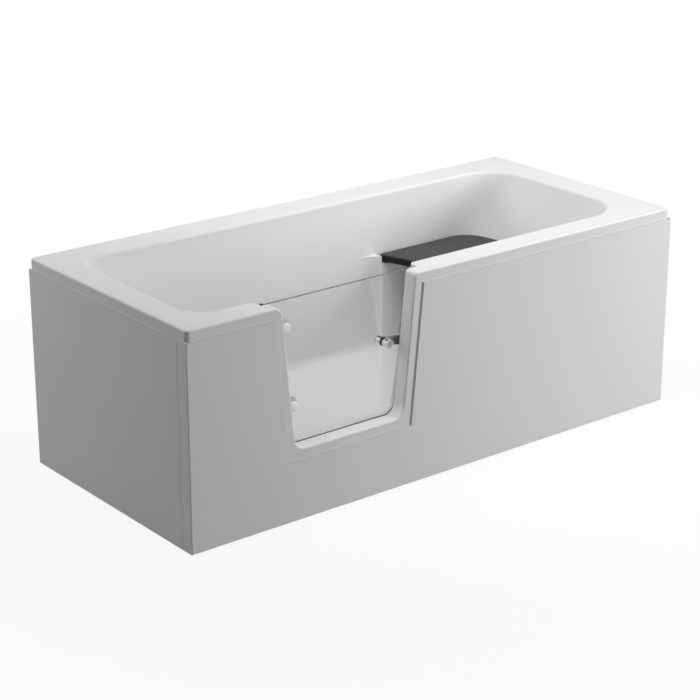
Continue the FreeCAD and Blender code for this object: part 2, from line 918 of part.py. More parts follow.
def make_base_board():
    x0, x1 = board_span()
    sides = basin_sides(basin_floor_z, 0)
    y0 = sides[2] + board_side_inset
    y1 = sides[3] - board_side_inset
    return block(x0, x1, y0, y1, frame_top, shell_underside)


def square_tube(x0, x1, y0, y1, z0, z1, run):
    """Square tube; run is the index of the axis that it runs along."""
    low = [x0, y0, z0]
    high = [x1, y1, z1]
    inner_low = [v if i == run else v + rail_wall for i, v in enumerate(low)]
    inner_high = [v if i == run else v - rail_wall for i, v in enumerate(high)]
    outer = block(low[0], high[0], low[1], high[1], low[2], high[2])
    return outer.cut(block(
        inner_low[0], inner_high[0], inner_low[1], inner_high[1], inner_low[2], inner_high[2]
    ))


rail_front_y = front + front_rail_inset
rail_back_y = back - back_rail_inset - rail_size
rail_starts = {"front": rail_front_y, "back": rail_back_y}
foot_places = [
    (x, y + rail_size / 2)
    for y in rail_starts.values()
    for x in (left + foot_end_inset, 0, right - foot_end_inset)
]


def make_rail(y0):
    rail = square_tube(
        left + rail_end_inset, right - rail_end_inset, y0, y0 + rail_size, frame_low, frame_top, 0
    )
    bores = [
        Part.makeCylinder(stud_radius + stud_hole_gap, rail_size, Vector(x, y, frame_low))
        for x, y in foot_places if y0 < y < y0 + rail_size
    ]
    if y0 == rail_front_y:
        bores.extend(bracket_bore(base, along_y) for base in front_bracket_screws())
    return rail.cut(bores)


def cross_centres():
    """Cross members: one at each end and three under the base board."""
    x0, x1 = board_span()
    end = left + rail_end_inset + rail_size / 2
    return {
        "foot_end": end,
        "door": x0 + cross_inset,
        "middle": (x0 + x1) / 2,
        "seat": x1 - cross_inset,
        "back_end": -end,
    }


def make_cross_member(name):
    x = cross_centres()[name]
    half = rail_size / 2
    member = square_tube(
        x - half, x + half, rail_front_y + rail_size, rail_back_y, frame_low, frame_top, 1
    )
    if name == "foot_end":
        member = member.cut([bracket_bore(base, Vector(1, 0, 0)) for base in end_bracket_screws()])
    return member


def post_places():
    """Left and front sides of each upright."""
    inset = (rail_size - post_size) / 2
    left_side = door_left(rim_underside, reveal_left + portal_spread) - door_post_gap - post_size
    right_side = door_right(rim_underside, reveal_right + portal_spread) + door_post_gap
    front_y = rail_front_y + inset
    end_x = left + rail_end_inset
    return {
        "front_left": (end_x, front_y),
        "front_right": (-end_x - post_size, front_y),
        "back_left": (end_x, rail_back_y + inset),
        "back_right": (-end_x - post_size, rail_back_y + inset),
        "door_left": (left_side, front_y),
        "door_right": (right_side, front_y),
    }


def make_post(x0, y0):
    return square_tube(x0, x0 + post_size, y0, y0 + post_size, frame_top, rim_underside, 2)


def make_foot_pad(x, y):
    base = Part.makeCylinder(foot_pad_radius, foot_pad_rim, Vector(x, y, 0))
    neck_height = foot_pad_height - foot_pad_rim
    neck_base = Vector(x, y, foot_pad_rim)
    neck = Part.makeCone(foot_pad_radius - foot_pad_step, foot_neck_radius, neck_height, neck_base)
    socket = Part.makeCylinder(stud_radius + fit_gap, foot_pad_height - stud_seat, Vector(x, y, stud_seat))
    return joined([base, neck]).cut(socket)


def make_foot_studs():
    top = frame_top + stud_above_rail
    return group([
        Part.makeCylinder(stud_radius, top - stud_seat, Vector(x, y, stud_seat)) for x, y in foot_places
    ])


def make_foot_nuts():
    """A lock nut below and above the rail on each stud."""
    nuts = []
    corner = nut_across_flats / math.sqrt(3)
    for x, y in foot_places:
        for z in (frame_low - nut_height, frame_top):
            points = []
            for step in range(7):
                turn = math.radians(60 * step)
                points.append(Vector(x + corner * math.cos(turn), y + corner * math.sin(turn), z))
            nut = Part.Face(Part.makePolygon(points)).extrude(Vector(0, 0, nut_height))
            nuts.append(nut.cut(Part.makeCylinder(stud_radius + fit_gap, nut_height, Vector(x, y, z))))
    return group(nuts)


# Panel brackets


def front_bracket_centres():
    return [step * front_bracket_spacing for step in (-1.5, -0.5, 0.5, 1.5)]


def end_bracket_centres():
    return [side * end_bracket_spacing / 2 for side in (-1, 1)]


def front_bracket_screws():
    z = (frame_low + frame_top) / 2 + bracket_sheet
    return [Vector(x, rail_front_y - bracket_sheet, z) for x in front_bracket_centres()]


def end_bracket_screws():
    z = (frame_low + frame_top) / 2 + bracket_sheet
    return [Vector(left + rail_end_inset - bracket_sheet, y, z) for y in end_bracket_centres()]


def bracket_bore(base, inward):
    return Part.makeCylinder(screw_radius + screw_hole_gap, leaf_plate + screw_bite, base, inward)


def panel_bracket(reach):
    """Z-shaped bracket at the origin: panel at y = 0, frame member at y = reach."""
    half = bracket_width / 2
    low = frame_low + bracket_sheet
    tab = block(-half, half, 0, bracket_sheet, low, low + bracket_tab)
    arm = block(-half, half, 0, reach, low, low + bracket_sheet)
    leg = block(-half, half, reach - bracket_sheet, reach, low, frame_top - bracket_sheet)
    return joined([tab, arm, leg])


def make_panel_brackets():
    pieces = []
    for base in front_bracket_screws():
        place = Placement(Vector(base.x, rim_front, 0), Rotation())
        bracket = placed(panel_bracket(rail_front_y - rim_front), place)
        pieces.append(bracket.cut(bracket_bore(base, along_y)))
    for base in end_bracket_screws():
        place = Placement(Vector(rim_left, base.y, 0), Rotation(Vector(0, 0, 1), -90))
        bracket = placed(panel_bracket(left + rail_end_inset - rim_left), place)
        pieces.append(bracket.cut(bracket_bore(base, Vector(1, 0, 0))))
    return group(pieces)


def make_bracket_screws():
    front_screws = [screw(base, along_y) for base in front_bracket_screws()]
    end_screws = [screw(base, Vector(1, 0, 0)) for base in end_bracket_screws()]
    return group(front_screws + end_screws)


# Waste and overflow


def drain_point(z):
    return Vector(drain_x, basin_y, z)


def make_drain_flange():
    """Flange on the basin floor with its threaded tube and the guide for the plug's stem."""
    bore = drain_tube_radius - drain_tube_wall
    tube_z = basin_floor_z - drain_tube_drop
    disc = Part.makeCylinder(drain_flange_radius, drain_flange, drain_point(basin_floor_z))
    top_rim = edges_at(disc, lambda p: p.z > basin_floor_z + drain_flange - near)
    disc = disc.makeFillet(drain_flange / 2, top_rim)
    tube = Part.makeCylinder(drain_tube_radius, drain_tube_drop, drain_point(tube_z))
    shell = joined([disc, tube]).cut(
        Part.makeCylinder(bore, drain_tube_drop + drain_flange, drain_point(tube_z))
    )
    guide = Part.makeCylinder(drain_guide_radius, drain_guide_height, drain_point(tube_z))
    pieces = [shell, guide]
    half = drain_spoke / 2
    for step in range(3):
        spoke = block(0, bore + drain_tube_wall / 2, -half, half, 0, drain_guide_height)
        pieces.append(placed(spoke, Placement(drain_point(tube_z), Rotation(Vector(0, 0, 1), 120 * step))))
    stem_radius = plug_stem_radius + pin_running_gap
    stem_bore = Part.makeCylinder(stem_radius, drain_guide_height, drain_point(tube_z))
    return joined(pieces).cut(stem_bore)


def make_drain_gasket():
    z = shell_underside - gasket_thickness
    inner_radius = drain_tube_radius + drain_hole_gap
    return ring(drain_flange_radius, inner_radius, gasket_thickness, drain_point(z), Vector(0, 0, 1))


def make_drain_plug():
    seat_z = basin_floor_z + drain_flange + seal_gap
    disc = Part.makeCylinder(plug_radius, plug_edge, drain_point(seat_z))
    crown = Part.makeCone(plug_radius, plug_radius / 2, plug_crown, drain_point(seat_z + plug_edge))
    stem = Part.makeCylinder(plug_stem_radius, plug_stem, drain_point(seat_z - plug_stem))
    return joined([disc, crown, stem])


def make_drain_cup():
    """Cup under the drain with its outlet branch and the overflow's inlet socket."""
    top = shell_underside - gasket_thickness
    cup = Part.makeCylinder(drain_cup_radius, top - drain_cup_bottom, drain_point(drain_cup_bottom))
    branch_length = trap_y - basin_y - trap_radius - socket_gap
    branch = Part.makeCylinder(waste_pipe_radius, branch_length, drain_point(trap_inlet_z), along_y)
    socket_length = drain_cup_radius + hose_socket
    socket = Part.makeCylinder(
        overflow_pipe_radius + socket_wall, socket_length, drain_point(overflow_inlet_z), Vector(-1, 0, 0)
    )
    bores = [
        Part.makeCylinder(
            drain_tube_radius + fit_gap, top - drain_cup_bottom - waste_pipe_wall,
            drain_point(drain_cup_bottom + waste_pipe_wall),
        ),
        Part.makeCylinder(
            waste_pipe_radius - waste_pipe_wall, branch_length, drain_point(trap_inlet_z), along_y
        ),
        Part.makeCylinder(
            overflow_pipe_radius + fit_gap, socket_length, drain_point(overflow_inlet_z), Vector(-1, 0, 0)
        ),
    ]
    return joined([cup, branch, socket]).cut(bores)


def make_waste_trap():
    """Closed pot that keeps the water seal, with a socket on each side."""
    base = Vector(drain_x, trap_y, trap_bottom)
    pot = Part.makeCylinder(trap_radius, trap_top - trap_bottom, base)
    collar_base = Vector(drain_x, trap_y, trap_top - trap_collar_drop)
    collar = Part.makeCylinder(trap_radius + trap_collar, trap_collar_height, collar_base)
    hollow = Part.makeCylinder(
        trap_radius - trap_wall, trap_top - trap_bottom - trap_wall * 2, base + Vector(0, 0, trap_wall)
    )
    reach = trap_radius + hose_socket
    pieces = [pot, collar]
    bores = [hollow]
    for z, way in ((trap_inlet_z, along_y * -1), (outlet_z, along_y)):
        start = Vector(drain_x, trap_y, z)
        pieces.append(Part.makeCylinder(waste_pipe_radius + socket_wall, reach, start, way))
        bores.append(Part.makeCylinder(waste_pipe_radius + fit_gap, reach, start, way))
    return joined(pieces).cut(bores)


def make_waste_outlet():
    """Pipe from the trap, with a stop collar in front of the free spigot."""
    start = Vector(drain_x, trap_y + trap_radius + socket_gap, outlet_z)
    end_y = back - outlet_wall_gap
    pipe = Part.makeCylinder(waste_pipe_radius, end_y - start.y, start, along_y)
    collar_start = Vector(drain_x, end_y - outlet_spigot - outlet_collar, outlet_z)
    collar = Part.makeCylinder(outlet_collar_radius, outlet_collar, collar_start, along_y)
    bore = Part.makeCylinder(waste_pipe_radius - waste_pipe_wall, end_y - start.y, start, along_y)
    return joined([pipe, collar]).cut(bore)


def make_overflow_cover():
    """Shallow cup over the hole, open at the foot for the water; local +X goes out through the wall."""
    out = Vector(1, 0, 0)
    face = Vector(-overflow_cover_depth, 0, 0)
    cup = Part.makeCylinder(overflow_cover_radius, overflow_cover_depth, face, out)
    cup = cup.makeFillet(overflow_cover_wall, edges_far(cup, Vector(0, 0, 0), out, -overflow_cover_depth))
    inside = overflow_cover_radius - overflow_cover_wall
    hollow = Part.makeCylinder(
        inside, overflow_cover_depth - overflow_cover_wall, face + out * overflow_cover_wall, out
    )
    slot = block(
        -overflow_cover_depth + overflow_slot_setback, 0, -overflow_slot, overflow_slot,
        inside / 2, overflow_cover_radius + cut_margin,
    )
    return cup.cut([hollow, slot])


def make_overflow_gasket():
    out = Vector(1, 0, 0)
    return ring(overflow_body_radius, overflow_hole_radius, gasket_thickness, out * shell_wall, out)


def make_overflow_body():
    """Elbow behind the wall, with a sleeve through the hole; local +Z runs down the wall."""
    out = Vector(1, 0, 0)
    seat = shell_wall + gasket_thickness
    sleeve_radius = overflow_hole_radius - overflow_sleeve_gap
    sleeve_start = -overflow_sleeve_proud
    body = Part.makeCylinder(overflow_body_radius, overflow_body_depth, out * seat, out)
    sleeve = Part.makeCylinder(sleeve_radius, seat - sleeve_start, out * sleeve_start, out)
    down = Vector(0, 0, 1)
    start = out * overflow_axis()
    socket_reach = overflow_body_radius + hose_socket
    socket = Part.makeCylinder(overflow_pipe_radius + socket_wall, socket_reach, start, down)
    inside = sleeve_radius - overflow_cover_wall
    bores = [
        Part.makeCylinder(
            inside, seat - sleeve_start + overflow_body_depth - overflow_cover_wall, out * sleeve_start, out
        ),
        Part.makeCylinder(overflow_pipe_radius + fit_gap, socket_reach, start, down),
    ]
    return joined([body, sleeve, socket]).cut(bores)


def overflow_axis():
    """Distance of the overflow pipe's line from the inner face of the wall."""
    return shell_wall + gasket_thickness + overflow_body_depth / 2


def make_overflow_pipe():
    """Pipe down along the foot-end wall, bent in to the drain cup."""
    place = overflow_place()
    top = place.multVec(Vector(overflow_axis(), 0, overflow_body_radius))
    down = place.Rotation.multVec(Vector(0, 0, 1))
    corner = top + down * ((top.z - overflow_inlet_z) / -down.z)
    end = drain_point(overflow_inlet_z) - Vector(drain_cup_radius, 0, 0)
    inwards = Vector(1, 0, 0)
    turn = down.getAngle(inwards)
    reach = overflow_bend * math.tan(turn / 2)
    bend_start = corner - down * reach
    bend_end = corner + inwards * reach
    to_centre = (inwards - down).normalize()
    middle = corner + to_centre * (overflow_bend / math.cos(turn / 2) - overflow_bend)
    path = Part.Wire([
        Part.LineSegment(top, bend_start).toShape(),
        Part.Arc(bend_start, middle, bend_end).toShape(),
        Part.LineSegment(bend_end, end).toShape(),
    ])
    tubes = []
    for radius in (overflow_pipe_radius, overflow_pipe_radius - overflow_pipe_wall):
        section = Part.Wire([Part.makeCircle(radius, top, down)])
        tubes.append(path.makePipeShell([section], True, False))
    return tubes[0].cut(tubes[1])


# Assembly


outer_knob_mouth = glass_outer_y - bush_flange - latch_play
paddle_y = glass_inner_y + bush_flange + latch_play
inner_knob_mouth = paddle_y + paddle_thickness

nodes["tub_shell"] = make_tub_shell()
nodes["front_panel"] = make_front_panel()
nodes["end_panel"] = make_end_panel()
nodes["door_glass"] = make_door_glass()
nodes["door_seal"] = make_door_seal()
nodes["strike_profile"] = make_strike_profile()

hinge_pads = []
hinge_screws = []
for name, z in hinge_heights.items():
    place = hinge_place(z)
    nodes["hinge_pin_" + name] = placed(make_hinge_pin(), place)
    nodes["hinge_tub_leaf_" + name] = placed(make_tub_leaf(), place)
    nodes["hinge_glass_leaf_" + name] = placed(make_glass_leaf(), place)
    hinge_pads.extend(placed(pad, place) for pad in make_hinge_pads())
    nodes["hinge_cap_" + name] = placed(make_hinge_cap(), place)
    for base in leaf_screw_bases():
        hinge_screws.append(placed(screw(base, Vector(-1, 0, 0)), place))
nodes["hinge_pads"] = group(hinge_pads)
nodes["hinge_screws"] = group(hinge_screws)

nodes["latch_bush"] = make_latch_bush()
nodes["latch_washer"] = make_latch_washer()
nodes["latch_knob_outer"] = make_knob(outer_knob_mouth, -1, latch_knob_outer)
nodes["latch_knob_inner"] = make_knob(inner_knob_mouth, 1, latch_knob_inner)
nodes["latch_spindle"] = make_latch_spindle()
nodes["latch_paddle"] = make_latch_paddle()
nodes["latch_keeper"] = placed(make_keeper(), keeper_place())
nodes["keeper_screws"] = group(
    [placed(screw(base, Vector(1, 0, 0)), keeper_place()) for base in keeper_screw_bases()]
)

nodes["seat_board"] = make_seat_board()
nodes["seat_pads"] = make_seat_pads()

nodes["base_board"] = make_base_board()
for name, y0 in rail_starts.items():
    nodes["frame_rail_" + name] = make_rail(y0)
for name in cross_centres():
    nodes["frame_cross_" + name] = make_cross_member(name)
for name, (x0, y0) in post_places().items():
    nodes["frame_post_" + name] = make_post(x0, y0)
for number, (x, y) in enumerate(foot_places, 1):
    nodes["foot_pad_%d" % number] = make_foot_pad(x, y)
nodes["foot_studs"] = make_foot_studs()
nodes["foot_nuts"] = make_foot_nuts()
nodes["panel_brackets"] = make_panel_brackets()
nodes["bracket_screws"] = make_bracket_screws()

nodes["drain_flange"] = make_drain_flange()
nodes["drain_gasket"] = make_drain_gasket()
nodes["drain_plug"] = make_drain_plug()
nodes["drain_cup"] = make_drain_cup()
nodes["waste_trap"] = make_waste_trap()
nodes["waste_outlet"] = make_waste_outlet()
nodes["overflow_cover"] = placed(make_overflow_cover(), overflow_place())
nodes["overflow_gasket"] = placed(make_overflow_gasket(), overflow_place())
nodes["overflow_body"] = placed(make_overflow_body(), overflow_place())
nodes["overflow_pipe"] = make_overflow_pipe()

os.makedirs("parts", exist_ok=True)
for name, shape in nodes.items():
    shape.exportStep("parts/" + name + ".step")
    print("%-26s solids %d  valid %s  volume %.1f cm3" % (
        name, len(shape.Solids), shape.isValid(), shape.Volume / 1000
    ))
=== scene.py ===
import bmesh
import bpy
import math
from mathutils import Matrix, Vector


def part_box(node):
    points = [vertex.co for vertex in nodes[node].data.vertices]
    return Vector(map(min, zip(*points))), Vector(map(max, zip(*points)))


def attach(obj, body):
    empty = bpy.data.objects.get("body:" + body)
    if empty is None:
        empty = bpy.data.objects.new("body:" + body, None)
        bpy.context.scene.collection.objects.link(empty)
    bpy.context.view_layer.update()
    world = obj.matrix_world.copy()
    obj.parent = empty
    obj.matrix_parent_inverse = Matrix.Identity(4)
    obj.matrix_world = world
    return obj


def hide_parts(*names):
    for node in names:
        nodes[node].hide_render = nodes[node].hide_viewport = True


# A white walk-in bathtub for a corner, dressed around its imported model.
# Metres, +Z up, +X towards the seat end, -Y towards the door side.
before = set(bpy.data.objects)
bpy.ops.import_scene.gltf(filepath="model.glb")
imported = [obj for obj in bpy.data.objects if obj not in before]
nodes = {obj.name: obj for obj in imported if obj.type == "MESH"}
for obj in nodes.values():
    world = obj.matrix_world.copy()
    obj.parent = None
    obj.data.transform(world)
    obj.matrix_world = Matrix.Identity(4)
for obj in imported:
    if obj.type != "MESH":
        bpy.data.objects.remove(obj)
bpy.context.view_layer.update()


# Studio
# A pale floor in a white surround that is brightest overhead, a broad soft lamp in front of the seat end,
# a gridded one overhead that favours the seat, and weak ones at the foot end and behind. A black flag
# gives the chrome its dark stripe.


class Shade:
    """One output of a finish's nodes: sums on it add Math nodes to the same finish."""

    def __init__(self, tree, socket=None):
        self.tree = tree
        self.socket = socket

    def node(self, kind, settings=None, sockets=None, output=0):
        """Add any node: its settings are set first, then the values or links of its sockets."""
        made = self.tree.nodes.new("ShaderNode" + kind)
        for name, value in (settings or {}).items():
            setattr(made, name, value)
        for name, value in (sockets or {}).items():
            if isinstance(value, Shade):
                self.tree.links.new(value.socket, made.inputs[name])
            else:
                made.inputs[name].default_value = value
        return Shade(self.tree, made.outputs[output])

    def sum_of(self, operation, first, second=0.0):
        return self.node("Math", {"operation": operation}, {0: first, 1: second})

    def __add__(self, other):
        return self.sum_of("ADD", self, other)

    def __radd__(self, other):
        return self.sum_of("ADD", other, self)

    def __sub__(self, other):
        return self.sum_of("SUBTRACT", self, other)

    def __rsub__(self, other):
        return self.sum_of("SUBTRACT", other, self)

    def __mul__(self, other):
        return self.sum_of("MULTIPLY", self, other)

    def __rmul__(self, other):
        return self.sum_of("MULTIPLY", other, self)

    def __pow__(self, power):
        return self.sum_of("POWER", self, power)

    def __gt__(self, level):
        return self.sum_of("GREATER_THAN", self, level)

    def __lt__(self, level):
        return self.sum_of("LESS_THAN", self, level)

    def __or__(self, other):
        """The larger of the two."""
        return self.sum_of("MAXIMUM", self, other)

    def __and__(self, other):
        """The smaller of the two."""
        return self.sum_of("MINIMUM", self, other)

    def __abs__(self):
        return self.sum_of("ABSOLUTE", self)


def grey(level):
    return (level, level, level, 1.0)


def along(place, axis):
    return place.node("SeparateXYZ", sockets={"Vector": place}, output=axis)


def rise(value, low, high):
    """0 up to low, 1 from high on, with a soft step between."""
    sockets = {"Value": value, "From Min": low, "From Max": high}
    return value.node("MapRange", {"interpolation_type": "SMOOTHSTEP"}, sockets)


def seen_directly(start):
    """1 where the camera, a mirror finish or the glass looks, and 0 for light that falls on the tub."""
    ways = ("Is Camera Ray", "Is Glossy Ray", "Is Transmission Ray")
    camera, mirror, glass = [start.node("LightPath", output=way) for way in ways]
    return camera | mirror | glass


def facing(place, aim):
    """Turn that points a lamp or a card at a spot on the tub."""
    return (Vector(aim) - Vector(place)).to_track_quat("-Z", "Y").to_euler()


def soft_lamp(name, place, aim, side, watts, spread=180.0):
    """Square soft lamp aimed at a spot, kept out of reflections; a grid narrows its spread in degrees."""
    bpy.ops.object.light_add(type="AREA", location=place, rotation=facing(place, aim))
    lamp = bpy.context.object
    lamp.name = name
    lamp.data.size = side
    lamp.data.energy = watts
    lamp.data.spread = math.radians(spread)
    lamp.visible_glossy = False


scene = bpy.context.scene
scene.view_settings.view_transform = "Standard"

side_light = 0.07
sky_light = 0.53
surround = bpy.data.worlds.new("white_surround")
scene.world = surround
surround.use_nodes = True
surround_start = Shade(surround.node_tree)
upward = along(surround_start.node("TexCoord", output="Generated"), "Z") | 0.0
falling_light = upward ** 2.0 * sky_light + side_light
surround_level = seen_directly(surround_start) | falling_light
backdrop = surround.node_tree.nodes["Background"]
backdrop.inputs["Color"].default_value = grey(1.0)
surround.node_tree.links.new(surround_level.socket, backdrop.inputs["Strength"])

floor_width = 24.0
floor_gap = 0.0005
floor_grey = 0.9
floor_bounce = 0.2
floor_shadow_share = 0.12
shadow_fades_from = 1.1
shadow_ends = 2.4
bpy.ops.object.select_all(action="DESELECT")
bpy.ops.mesh.primitive_plane_add(size=floor_width, location=(0.0, 0.0, -floor_gap))
floor = bpy.context.object
floor.name = "floor"
floor_paint = bpy.data.materials.new("pale_floor")
floor_paint.use_nodes = True
floor_place = Shade(floor_paint.node_tree).node("TexCoord", output="Object")
from_tub = floor_place.node("VectorMath", {"operation": "LENGTH"}, {0: floor_place}, "Value")
floor_shadow = (1 - rise(from_tub, shadow_fades_from, shadow_ends)) * floor_shadow_share
floor_shade = floor_place.node("BsdfDiffuse", sockets={"Color": grey(floor_grey)})
floor_white = floor_place.node("Emission", sockets={"Color": grey(1.0)})
floor_dull = floor_place.node("BsdfDiffuse", sockets={"Color": grey(floor_bounce)})
floor_seen = floor_place.node("MixShader", sockets={0: floor_shadow, 1: floor_white, 2: floor_shade})
floor_sockets = {0: seen_directly(floor_place), 1: floor_dull, 2: floor_seen}
floor_mix = floor_place.node("MixShader", sockets=floor_sockets)
floor_end = floor_paint.node_tree.nodes["Material Output"]
floor_paint.node_tree.links.new(floor_mix.socket, floor_end.inputs["Surface"])
floor.data.materials.append(floor_paint)

soft_lamp("seat_side_lamp", place=(2.9, -2.7, 1.6), aim=(0.8, -0.2, 0.4), side=1.6, watts=104.0)
soft_lamp("overhead_lamp", place=(-0.3, -0.3, 3.0), aim=(0.5, 0.05, 0.45), side=1.0, watts=6.0, spread=70.0)
soft_lamp("foot_end_lamp", place=(-1.9, 1.9, 1.9), aim=(-0.2, 0.0, 0.4), side=1.2, watts=22.0)
soft_lamp("wall_side_lamp", place=(0.4, 3.8, 0.5), aim=(0.0, 0.3, 0.3), side=0.8, watts=50.0)

flag_place = (0.53, 1.84, 2.35)
flag_aim = (-0.18, -0.34, 0.41)
flag_size = (3.2, 1.4, 1.0)
flag_turn = facing(flag_place, flag_aim)
bpy.ops.mesh.primitive_plane_add(size=1.0, location=flag_place, rotation=flag_turn)
flag = bpy.context.object
flag.name = "black_flag"
flag.scale = flag_size
flag.visible_camera = False
flag.visible_diffuse = False
flag.visible_transmission = False
flag.visible_shadow = False
flag_cloth = bpy.data.materials.new("black_cloth")
flag_cloth.use_nodes = True
flag_shader = flag_cloth.node_tree.nodes["Principled BSDF"]
flag_shader.inputs["Base Color"].default_value = grey(0.0)
flag_shader.inputs["Specular IOR Level"].default_value = 0.0
flag.data.materials.append(flag_cloth)

camera_place = (-3.4100, -4.2311, 2.2704)
camera_pitch = 0.3561
camera_yaw = 0.6719
camera_lens_mm = 104.55
camera_film_mm = 36.0
camera_turn = (math.pi / 2 - camera_pitch, 0.0, -camera_yaw)
bpy.ops.object.camera_add(location=camera_place, rotation=camera_turn)
camera = bpy.context.object
camera.data.lens = camera_lens_mm
camera.data.sensor_width = camera_film_mm
scene.camera = camera


# Tub shell
# Basin, rim, door frame and seat ledges are one moulding, drawn from a heated acrylic sheet. Glass fibre
# and resin are rolled onto its back to stiffen it, so the hidden side is rough, hazy and off-white.


def finish(name, even):
    """New finish with its even values; gives it, the place on the piece and the shader."""
    material = bpy.data.materials.new(name)
    material.use_nodes = True
    shader = material.node_tree.nodes["Principled BSDF"]
    for socket, value in even.items():
        shader.inputs[socket].default_value = value
    place = Shade(material.node_tree).node("TexCoord", output="Object")
    return material, place, shader


def feed(shader, varying):
    """Link what changes over the surface to the shader's sockets."""
    for socket, value in varying.items():
        value.tree.links.new(value.socket, shader.inputs[socket])


def grain(place, scale, detail=2.0, roughness=0.5):
    """Cloudy noise of 0 to 1."""
    sockets = {"Vector": place, "Scale": scale, "Detail": detail, "Roughness": roughness}
    return place.node("TexNoise", sockets=sockets, output="Fac")


def stretched(place, cell, turn=(0.0, 0.0, 0.0)):
    """The place, turned and then counted in cells of a size, so that a pattern runs long one way."""
    sockets = {"Vector": place, "Rotation": turn, "Scale": cell}
    return place.node("Mapping", {"vector_type": "TEXTURE"}, sockets)


def blend(share, first, second):
    """Colour between two others: sockets 6 and 7 and output 2 of a Mix node are its colours."""
    return share.node("Mix", {"data_type": "RGBA"}, {0: share, 6: first, 7: second}, 2)


def relief(height, depth):
    """Fine unevenness for a shader's Normal."""
    return height.node("Bump", sockets={"Strength": 1.0, "Distance": depth, "Height": height})


def dress(material, *names):
    """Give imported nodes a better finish."""
    for name in names:
        for material_slot in nodes[name].material_slots:
            material_slot.material = material


fibre_cell = (0.055, 0.0035, 0.0035)
fibre_turns = (
    (0.0, 0.3, 0.0), (0.0, 1.1, 0.0), (0.0, 1.9, 0.0),
    (0.0, 2.7, 0.2), (0.0, 0.6, 1.5), (0.0, -0.7, 1.4),
)
acrylic_shaded = (0.805, 0.808, 0.81, 1.0)
acrylic_white = (0.84, 0.842, 0.845, 1.0)
# Grey of the cut panel edges: partly their dull cut face, partly painted shade over the light they catch.
edge_shade_grey = grey(0.56)
resin_dark = (0.55, 0.53, 0.45, 1.0)
resin_pale = (0.66, 0.64, 0.56, 1.0)
fibre_pale = (0.80, 0.79, 0.74, 1.0)


def moulded_acrylic(name, backed, sawn_edge_shade=None):
    """White acrylic, fibre and resin backing where backed(place) is 1, and a dull edge greyed as painted
    shade.
    """
    material, place, shader = finish(name, {"IOR": 1.49, "Specular IOR Level": 0.4})
    back = backed(place)
    cloud = grain(place, 2.5)
    white = blend(cloud, acrylic_shaded, acrylic_white)
    # Painted shade: the cut edge and its small round are greyed, so the light they catch shows no bright
    # line.
    if sawn_edge_shade:
        white = blend(sawn_edge_shade(place), white, edge_shade_grey)
    strands = None
    for turn in fibre_turns:
        streak = rise(grain(stretched(place, fibre_cell, turn), 1.0, 1.0), 0.56, 0.70)
        strands = streak if strands is None else strands | streak
    resin = blend(grain(place, 9.0, 4.0), resin_dark, resin_pale)
    laid_up = blend(strands * 0.8, resin, fibre_pale)
    front_roughness = grain(place, 6.0) * 0.1 + 0.46
    back_roughness = 0.6 - strands * 0.15
    front_height = grain(place, 160.0, 1.0) * 0.03
    back_height = strands + grain(place, 45.0, 3.0)
    feed(shader, {
        "Base Color": blend(back, white, laid_up),
        "Roughness": front_roughness * (1 - back) + back * back_roughness,
        "Normal": relief(front_height * (1 - back) + back_height * back, 0.0006),
    })
    return material


def rounded(first, second, radius):
    """Distance outside two walls that meet in a rounded corner, from the distances outside each."""
    first = first + radius
    second = second + radius
    return ((first | second) & 0.0) + ((first | 0.0) ** 2 + (second | 0.0) ** 2) ** 0.5 - radius


# A wall's hidden side starts at this share of its thickness.
hidden_from = 0.95
skin = 0.008
rim_low, rim_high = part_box("tub_shell")
rim_top = rim_high.z
panel_low, panel_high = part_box("front_panel")
rim_at_foot = 0.087
rim_at_seat = 0.103
rim_at_door = 0.088
rim_at_wall = 0.100
basin_left = panel_low.x + rim_at_foot
basin_right = panel_high.x - rim_at_seat
basin_front = panel_low.y + rim_at_door
basin_back = rim_high.y - rim_at_wall
basin_floor = 0.135
foot_end_slope = math.tan(math.radians(7.0))
backrest_slope = math.tan(math.radians(22.0))
side_slope = math.tan(math.radians(5.0))
corner_radius_left = 0.075
corner_radius_right = 0.130
floor_round = 0.024
door_from_left = 0.5125
door_middle = panel_low.x + door_from_left
sill = 0.201
sill_half = 0.1795
door_angle = math.radians(5.6)
door_lean = math.tan(door_angle)
door_frame = 0.055
door_frame_back = -0.235


def fibre_back(place):
    """1 on the back of the shell: outside the basin, under the rim and clear of the door frame."""
    x = along(place, "X")
    y = along(place, "Y")
    z = along(place, "Z")
    depth = rim_top - z
    ends = (basin_left + depth * foot_end_slope - x) | (x - (basin_right - depth * backrest_slope))
    sides = (basin_front + depth * side_slope - y) | (y - (basin_back - depth * side_slope))
    corner = (x > 0.0) * (corner_radius_right - corner_radius_left) + corner_radius_left
    walls = rounded(ends, sides, corner)
    outside = rounded(walls, basin_floor - z, floor_round) > skin / 2
    under_rim = z < rim_top - skin * hidden_from
    lip = skin / 2
    in_lip = (abs(x) < rim_high.x - lip) * (y > rim_low.y + lip) * (y < rim_high.y - lip)
    half_door = (z - sill) * door_lean + (sill_half + door_frame)
    by_door = (abs(x - door_middle) < half_door) * (z > sill - door_frame) * (y < door_frame_back)
    return outside * under_rim * in_lip * (1 - by_door)


dress(moulded_acrylic("white_acrylic_shell", fibre_back), "tub_shell")


# Base board
# A resin-soaked chipboard laid up under the basin floor. It spreads the load of the standing bather onto
# the cradle's cross members.

chip_cell = (0.006, 0.003, 0.0015)
chipboard, place, shader = finish("chipboard", {})
chip_sockets = {"Vector": stretched(place, chip_cell), "Scale": 1.0}
chips = place.node("TexVoronoi", sockets=chip_sockets, output="Color")
chip = place.node("SeparateColor", sockets={"Color": chips}, output="Red")
wood = blend(chip, (0.30, 0.19, 0.09, 1.0), (0.60, 0.45, 0.27, 1.0))
feed(shader, {
    "Base Color": blend(rise(grain(place, 60.0, 4.0), 0.55, 0.75) * 0.6, wood, (0.42, 0.33, 0.21, 1.0)),
    "Roughness": chip * 0.2 + 0.6,
    "Normal": relief(chip, 0.0004),
})
dress(chipboard, "base_board")


